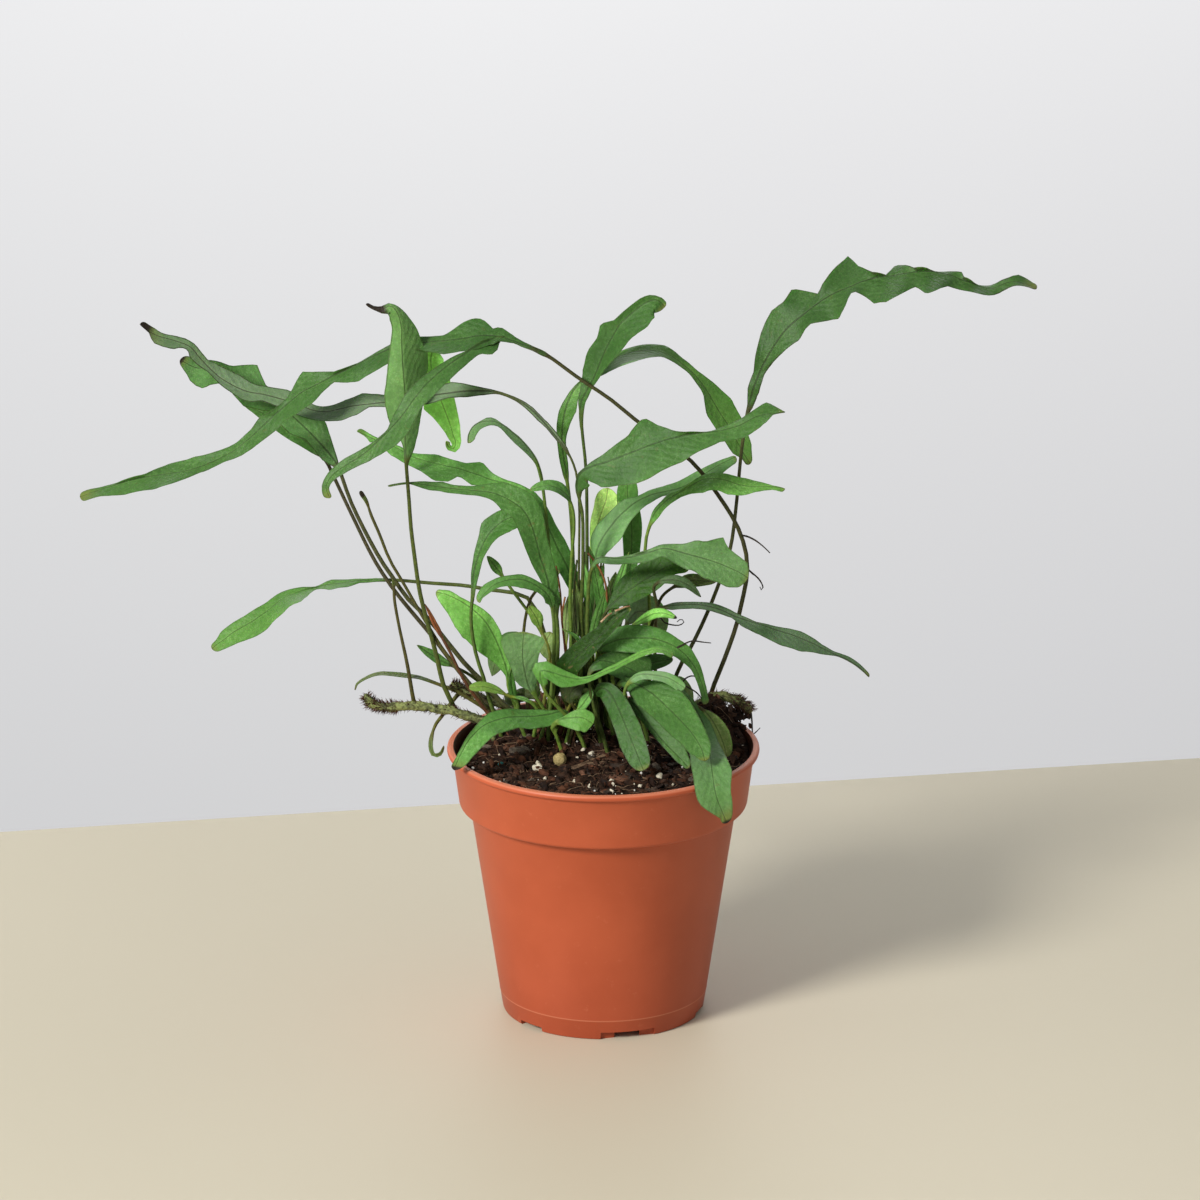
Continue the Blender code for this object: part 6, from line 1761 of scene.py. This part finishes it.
def soil_surface(x, y):
    """The soil's height with its lumps and crumbs, in millimetres."""
    spot = Vector((x, y, 0))
    lumps = 1.1 * noise.noise(spot / 9.0) + 0.8 * noise.noise(spot / 3.5 + Vector((9, 2, 5)))
    crumbs = 0.5 * noise.noise(spot / 1.4 + Vector((3, 8, 1)))
    bank = 0.0
    for rise, centre_x, centre_y, spread_x, spread_y, power in BANKS:
        bank += rise * math.exp(-((x - centre_x) / spread_x) ** power - ((y - centre_y) / spread_y) ** 2)
    bank *= min(max((SOIL_RADIUS + 0.5 - math.hypot(x, y)) / BANK_ENDS_OVER, 0.0), 1.0)
    return soil_height(x, y) + bank + lumps + crumbs - 0.4


def inside_radius(height):
    """The radius of the pot's inner wall at this height, in millimetres."""
    slope = (BODY_TOP_RADIUS - BASE_RADIUS) / BAND_BOTTOM
    heights = (FLOOR_UNDER + WALL, INNER_SHELF - 2 * WALL, INNER_SHELF, POT_HEIGHT - LIP_HEIGHT)
    radii = (BASE_RADIUS + slope * 5, BODY_TOP_RADIUS, BAND_BOTTOM_RADIUS, BAND_TOP_RADIUS)
    return float(np.interp(height, heights, radii)) - WALL


def dress_soil(soil):
    top = [(SOIL_RADIUS * k / SOIL_RINGS, SOIL_RIM_LEVEL) for k in range(SOIL_RINGS + 1)]
    heights = (SOIL_LEVEL - 8, INNER_SHELF, INNER_SHELF - 2 * WALL, SOIL_BOTTOM)
    side = [(inside_radius(height) - 0.6, height) for height in heights]
    shape = spun([*top, *side, (0, SOIL_BOTTOM)], SOIL_STEPS)
    for vert in shape.verts:
        if vert.co.z > (SOIL_RIM_LEVEL - 1) * MM:
            vert.co.z = soil_surface(vert.co.x / MM, vert.co.y / MM) * MM
    for face in shape.faces:
        face.smooth = True
    piece = finished("potting_mix", shape, soil)
    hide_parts("soil")


def pile(count, add):
    """One shape of many small ones. They are made in batches, as operators slow down on a large shape."""
    whole = bmesh.new()
    for first in range(0, count, BATCH):
        batch = bmesh.new()
        for _ in range(first, min(first + BATCH, count)):
            add(batch)
        bmesh.ops.recalc_face_normals(batch, faces=batch.faces)
        mesh = bpy.data.meshes.new("batch")
        batch.to_mesh(mesh)
        batch.free()
        whole.from_mesh(mesh)
        bpy.data.meshes.remove(mesh)
    return whole


def add_grain(shape, dice, centre, size, flat=0.8, material=0, finer=1, longer=1.0):
    """A rough grain: a small ball pulled out of round, and longer than wide where it is a splinter."""
    turn = Matrix.Rotation(dice.uniform(0, math.tau), 4, Vector((dice.random(), dice.random(), 1)))
    squash = Matrix.Diagonal((longer, dice.uniform(0.6, 1.0), flat * dice.uniform(0.7, 1.0), 1))
    place = Matrix.Translation(centre) @ turn @ squash
    made = bmesh.ops.create_icosphere(shape, subdivisions=finer, radius=size * MM, matrix=place)
    away = Vector((dice.uniform(0, 50), dice.uniform(0, 50), dice.uniform(0, 50)))
    for vert in made["verts"]:
        out = vert.co - centre
        vert.co = centre + out * (1 + 0.55 * noise.noise(out / MM / size * 1.3 + away))
    for face in faces_of(made["verts"]):
        face.material_index = material


def scattered(dice, reach=CRUMB_REACH):
    """A random place on the soil, as a point in metres."""
    radius = reach * math.sqrt(dice.random())
    angle = dice.uniform(0, math.tau)
    x = radius * math.cos(angle)
    y = radius * math.sin(angle)
    return Vector((x, y, soil_surface(x, y))) * MM


def dress_crumbs(browns):
    dice = random.Random(7)

    def add(batch):
        size = dice.choice((0.4, 0.5, 0.7, 0.9, 1.2, 1.8, 3.0))
        place = scattered(dice)
        place.z += size * 0.1 * MM
        longer = dice.choice((1.0, 1.4, 2.0, 3.2)) if size < 2 else dice.uniform(1.0, 1.5)
        brown = dice.randrange(len(browns))
        add_grain(batch, dice, place, size / longer ** 0.5, 0.6, brown, longer=longer)

    finished("soil_crumbs", pile(CRUMBS, add), *browns)


def dress_clump(*browns):
    """The crumbs and root hairs that cling under the right rhizome."""
    dice = random.Random(13)
    line = rhizome_line(RHIZOMES[-1])

    def add(batch):
        along = dice.random() ** 0.8
        foot = Vector(line[int(along * 0.86 * (len(line) - 1))])
        drop = dice.random()
        spot = foot + Vector((dice.gauss(-1.0, 3.0), dice.gauss(-3.5, 3.0), -2.5 - drop * 13)) * MM
        size = dice.choice((0.7, 1.0, 1.5, 2.2))
        brown = dice.randrange(len(browns))
        add_grain(batch, dice, spot, size, 0.7, brown, longer=dice.uniform(1.0, 2.4))

    finished("root_clump", pile(CLUMP_CRUMBS, add), *browns)


def dress_grit(white, cream, teal):
    dice = random.Random(11)

    def add(batch):
        size = dice.choice((0.3, 0.4, 0.5, 0.6, 0.8))
        place = scattered(dice)
        place.z += size * 0.6 * MM
        add_grain(batch, dice, place, size, 0.9, int(dice.random() < 0.35))

    shape = pile(GRAINS, add)
    for across, down, size in STONES:
        place = on_soil((across, down))
        place.z += size * 0.4 * MM
        add_grain(shape, dice, place, size, 0.85, 1, finer=3)
    across, down, size = GRANULE
    add_grain(shape, dice, on_soil((across, down)) + Vector((0, 0, 1.4 * MM)), size, 0.6, 2, finer=2)
    finished("perlite", shape, white, cream, teal)


def on_soil(pixel):
    """Where a picture point falls on the soil."""
    ray = seen(*pixel, 0.0) - EYE
    point = EYE.copy()
    for share in np.linspace(0.96, 1.06, 2000):
        point = EYE + ray * float(share)
        if point.z / MM < soil_height(point.x / MM, point.y / MM):
            break
    return Vector((point.x, point.y, soil_surface(point.x / MM, point.y / MM) * MM))


def dress_ball(finish):
    """The ochre ball of slow feed, or seed, that lies on the soil."""
    shape = bmesh.new()
    across, down, radius = BALL
    place = on_soil((across, down))
    place.z += 2.6 * MM
    made = bmesh.ops.create_icosphere(shape, subdivisions=4, radius=radius * MM,
                                      matrix=Matrix.Translation(place))
    for vert in made["verts"]:
        out = vert.co - place
        dents = 0.10 * noise.noise(out / MM * 0.5) + 0.02 * noise.noise(out / MM * 2)
        vert.co = place + out * (1 + dents)
    for face in shape.faces:
        face.smooth = True
    finished("ochre_ball", shape, finish)


def dress_chips(finishes):
    """Flakes of bark that lie in the soil: bevelled slabs pulled out of true."""
    dice = random.Random(21)
    shape = bmesh.new()
    chips = [(on_soil(pixel), size) for pixel, size in SEEN_CHIPS]
    for _ in range(CHIPS):
        spot = scattered(dice, CHIP_REACH)
        length = dice.uniform(2.5, 6.5)
        chips.append((spot, (length, length * dice.uniform(0.35, 0.6), dice.uniform(0.6, 1.4))))
    for number, (spot, size) in enumerate(chips):
        turn = Matrix.Rotation(dice.uniform(0, math.tau), 4, "Z")
        tilt = Matrix.Rotation(dice.uniform(-0.35, 0.35), 4, Vector((dice.random(), dice.random(), 0)))
        lifted = spot + Vector((0, 0, 0.35 * size[2] * MM))
        place = Matrix.Translation(lifted) @ turn @ tilt @ Matrix.Diagonal((*size, 1))
        before = len(shape.verts)
        made = bmesh.ops.create_cube(shape, size=MM, matrix=place)
        edges = list({edge for vert in made["verts"] for edge in vert.link_edges})
        bmesh.ops.subdivide_edges(shape, edges=edges, cuts=3, use_grid_fill=True)
        shape.verts.ensure_lookup_table()
        verts = shape.verts[before:]
        for vert in verts:
            at = vert.co / MM * 0.6
            shake = Vector([noise.noise(at + Vector((k * 9, number, 0))) for k in range(3)])
            vert.co += shake * 0.8 * MM
        for face in faces_of(verts):
            face.material_index = number % len(finishes)
    finished("bark_chips", shape, *finishes)


def laid_over(pixels):
    """A line over the soil through these picture points, in steps of about a millimetre."""
    line, _, length = smooth_course([on_soil(pixel) for pixel in pixels])
    return [line[int(k * (len(line) - 1))] for k in np.linspace(0, 1, max(5, int(length / MM)))]


def dress_fibres(finish):
    """Thin wood fibres and rootlets that lie over the soil."""
    dice = random.Random(31)
    shape = bmesh.new()
    tube(shape, laid_over(((505, 763), (517, 764), (528, 767), (538, 771))), [0.3] * 40, around=6)
    for _ in range(12):
        spread = dice.uniform(-1, 1)
        far_end = (608 + 3 * dice.random(), 757 + 9 * spread)
        ends = ((571 + 3 * spread, 768), (589, 762 + 3 * spread), far_end)
        tube(shape, laid_over(ends), [dice.uniform(0.25, 0.5)] * 60, around=5)
    for _ in range(FIBRES):
        start = scattered(dice, CHIP_REACH)
        heading = dice.uniform(0, math.tau)
        bend = dice.uniform(-0.25, 0.25)
        step = dice.uniform(0.8, 2.2)
        line = []
        x, y = start.x / MM, start.y / MM
        for _ in range(7):
            height = soil_surface(x, y) + dice.uniform(0.1, 0.7)
            line.append(np.array((x, y, height)) * MM)
            x += step * math.cos(heading)
            y += step * math.sin(heading)
            heading += bend
            if math.hypot(x, y) > FIBRE_REACH:
                break
        if len(line) > 3:
            radius = dice.uniform(0.10, 0.26)
            tube(shape, line, [radius] * len(line), around=4)
    finished("wood_fibres", shape, finish)


# The stage

def on_floor(across, down):
    """Where a picture point falls on the floor."""
    ray = seen(across, down, 0.0) - EYE
    return EYE + ray * (-EYE.z / ray.z)


def sheet_between(name, corners, finish):
    """A flat part of the stage with these corners: front left, front right, back left, back right."""
    shape = bmesh.new()
    made = bmesh.ops.create_grid(shape, x_segments=1, y_segments=1, size=0.5)
    for vert, corner in zip(made["verts"], corners):
        vert.co = corner
    mesh = bpy.data.meshes.new(name)
    shape.to_mesh(mesh)
    shape.free()
    mesh.materials.append(finish.material)
    obj = bpy.data.objects.new(name, mesh)
    bpy.context.scene.collection.objects.link(obj)


def set_stage():
    back_left = on_floor(-1500, 924.5)
    back_right = on_floor(2700, 665.5)
    near = Vector((0, -4.2, 0))
    # the table's colour grows lighter to the right as painted light
    table = stage_finish("table_top", (0.58, 0.528, 0.40), (0.715, 0.65, 0.495))
    sheet_between("table_top", (back_left + near, back_right + near, back_left, back_right), table)
    wall = stage_finish("wall", (0.878, 0.874, 0.878), (0.866, 0.860, 0.866))
    corners = ((-6, 4.6, -3.5), (6, 4.6, -3.5), (-6, 4.6, 4), (6, 4.6, 4))
    sheet_between("wall", corners, wall)


def add_light(name, place, target, size, power, colour=(1, 1, 1), spread=180):
    lamp = bpy.data.lights.new(name, "AREA")
    lamp.spread = math.radians(spread)
    lamp.shape = "DISK"
    lamp.size = size
    lamp.energy = power
    lamp.color = colour
    light = bpy.data.objects.new(name, lamp)
    light.location = place
    aim = Vector(target) - Vector(place)
    light.rotation_euler = aim.to_track_quat("-Z", "Y").to_euler()
    bpy.context.scene.collection.objects.link(light)


def light_stage():
    add_light("key", (-1.65, -1.70, 1.55), (0, 0, 0.15), 0.8, 78, (1.0, 0.985, 0.955))
    add_light("wall_wash", (0.4, 2.3, 2.8), (-0.9, 4.6, 0.5), 1.8, 136, spread=165)
    world = bpy.data.worlds.new("studio")
    world.use_nodes = True
    sky = world.node_tree.nodes["Background"]
    sky.inputs["Color"].default_value = (0.95, 0.97, 1.0, 1.0)
    sky.inputs["Strength"].default_value = 0.37
    bpy.context.scene.world = world


def set_camera():
    lens = bpy.data.cameras.new("camera")
    lens.sensor_width = SENSOR
    lens.lens = SENSOR * FOCAL / PICTURE
    lens.clip_end = 50
    camera = bpy.data.objects.new("camera", lens)
    camera.location = EYE
    camera.rotation_euler = (math.pi / 2 - PITCH, 0, 0)
    bpy.context.scene.collection.objects.link(camera)
    bpy.context.scene.camera = camera
    bpy.context.scene.view_settings.view_transform = "Standard"


def dress_plant():
    upper = leaf_finish("leaf_upper", False)
    lower = leaf_finish("leaf_under", True)
    dress_fronds(upper, lower)
    dress_shoots(SHOOTS, SHOOT_LOOKS, SHOOT_SEED, upper, lower)
    dress_shoots(SHADED_SHOOTS, [SHADED_LOOK], SHADED_SEED, upper, lower)
    bark = bark_finish("rhizome_bark", (0.035, 0.040, 0.012), (0.270, 0.310, 0.100))
    hair = bark_finish("rhizome_hair", (0.022, 0.009, 0.005), (0.120, 0.045, 0.022))
    dress_rhizomes(bark, hair)
    dress_stubs(bark_finish("stub_bark", (0.028, 0.012, 0.006), (0.130, 0.058, 0.026), 0.25))
    dress_strands({
        "dark": bark_finish("dry_stalk", (0.012, 0.009, 0.006), (0.040, 0.028, 0.016)),
        "rust": bark_finish("rust_stalk", (0.130, 0.045, 0.014), (0.300, 0.120, 0.035)),
        "tan": bark_finish("dry_scar", (0.250, 0.130, 0.060), (0.620, 0.430, 0.270)),
        "olive": bark_finish("green_stalk", (0.045, 0.060, 0.018), (0.110, 0.140, 0.045)),
    })


def dress_mix():
    dress_soil(soil_finish())
    browns = (
        bark_finish("dark_crumb", (0.006, 0.003, 0.002), (0.030, 0.013, 0.007), 0.2),
        bark_finish("brown_crumb", (0.018, 0.008, 0.004), (0.070, 0.032, 0.017), 0.2),
        bark_finish("red_crumb", (0.034, 0.012, 0.006), (0.115, 0.045, 0.021), 0.2),
    )
    dress_crumbs(browns)
    dress_clump(*browns)
    dress_grit(
        mineral_finish("white_grit", (0.55, 0.52, 0.45), (0.85, 0.83, 0.78)),
        mineral_finish("cream_perlite", (0.46, 0.40, 0.28), (0.78, 0.71, 0.56)),
        mineral_finish("teal_granule", (0.015, 0.130, 0.120), (0.050, 0.280, 0.260)),
    )
    dress_ball(mineral_finish("ochre_ball", (0.26, 0.19, 0.06), (0.46, 0.36, 0.15)))
    dress_chips((
        bark_finish("grey_bark", (0.050, 0.036, 0.026), (0.170, 0.130, 0.095)),
        bark_finish("red_bark", (0.060, 0.024, 0.012), (0.200, 0.088, 0.045)),
        bark_finish("dark_bark", (0.018, 0.011, 0.007), (0.060, 0.036, 0.022)),
    ))
    dress_fibres(bark_finish("wood_fibre", (0.080, 0.045, 0.024), (0.260, 0.165, 0.095)))


def main():
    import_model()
    set_camera()
    set_stage()
    light_stage()
    dress_pot(plastic_finish("terracotta_plastic", 0.0), plastic_finish("darkened_plastic", 1.0))
    dress_mix()
    dress_plant()
    bpy.context.view_layer.update()


main()
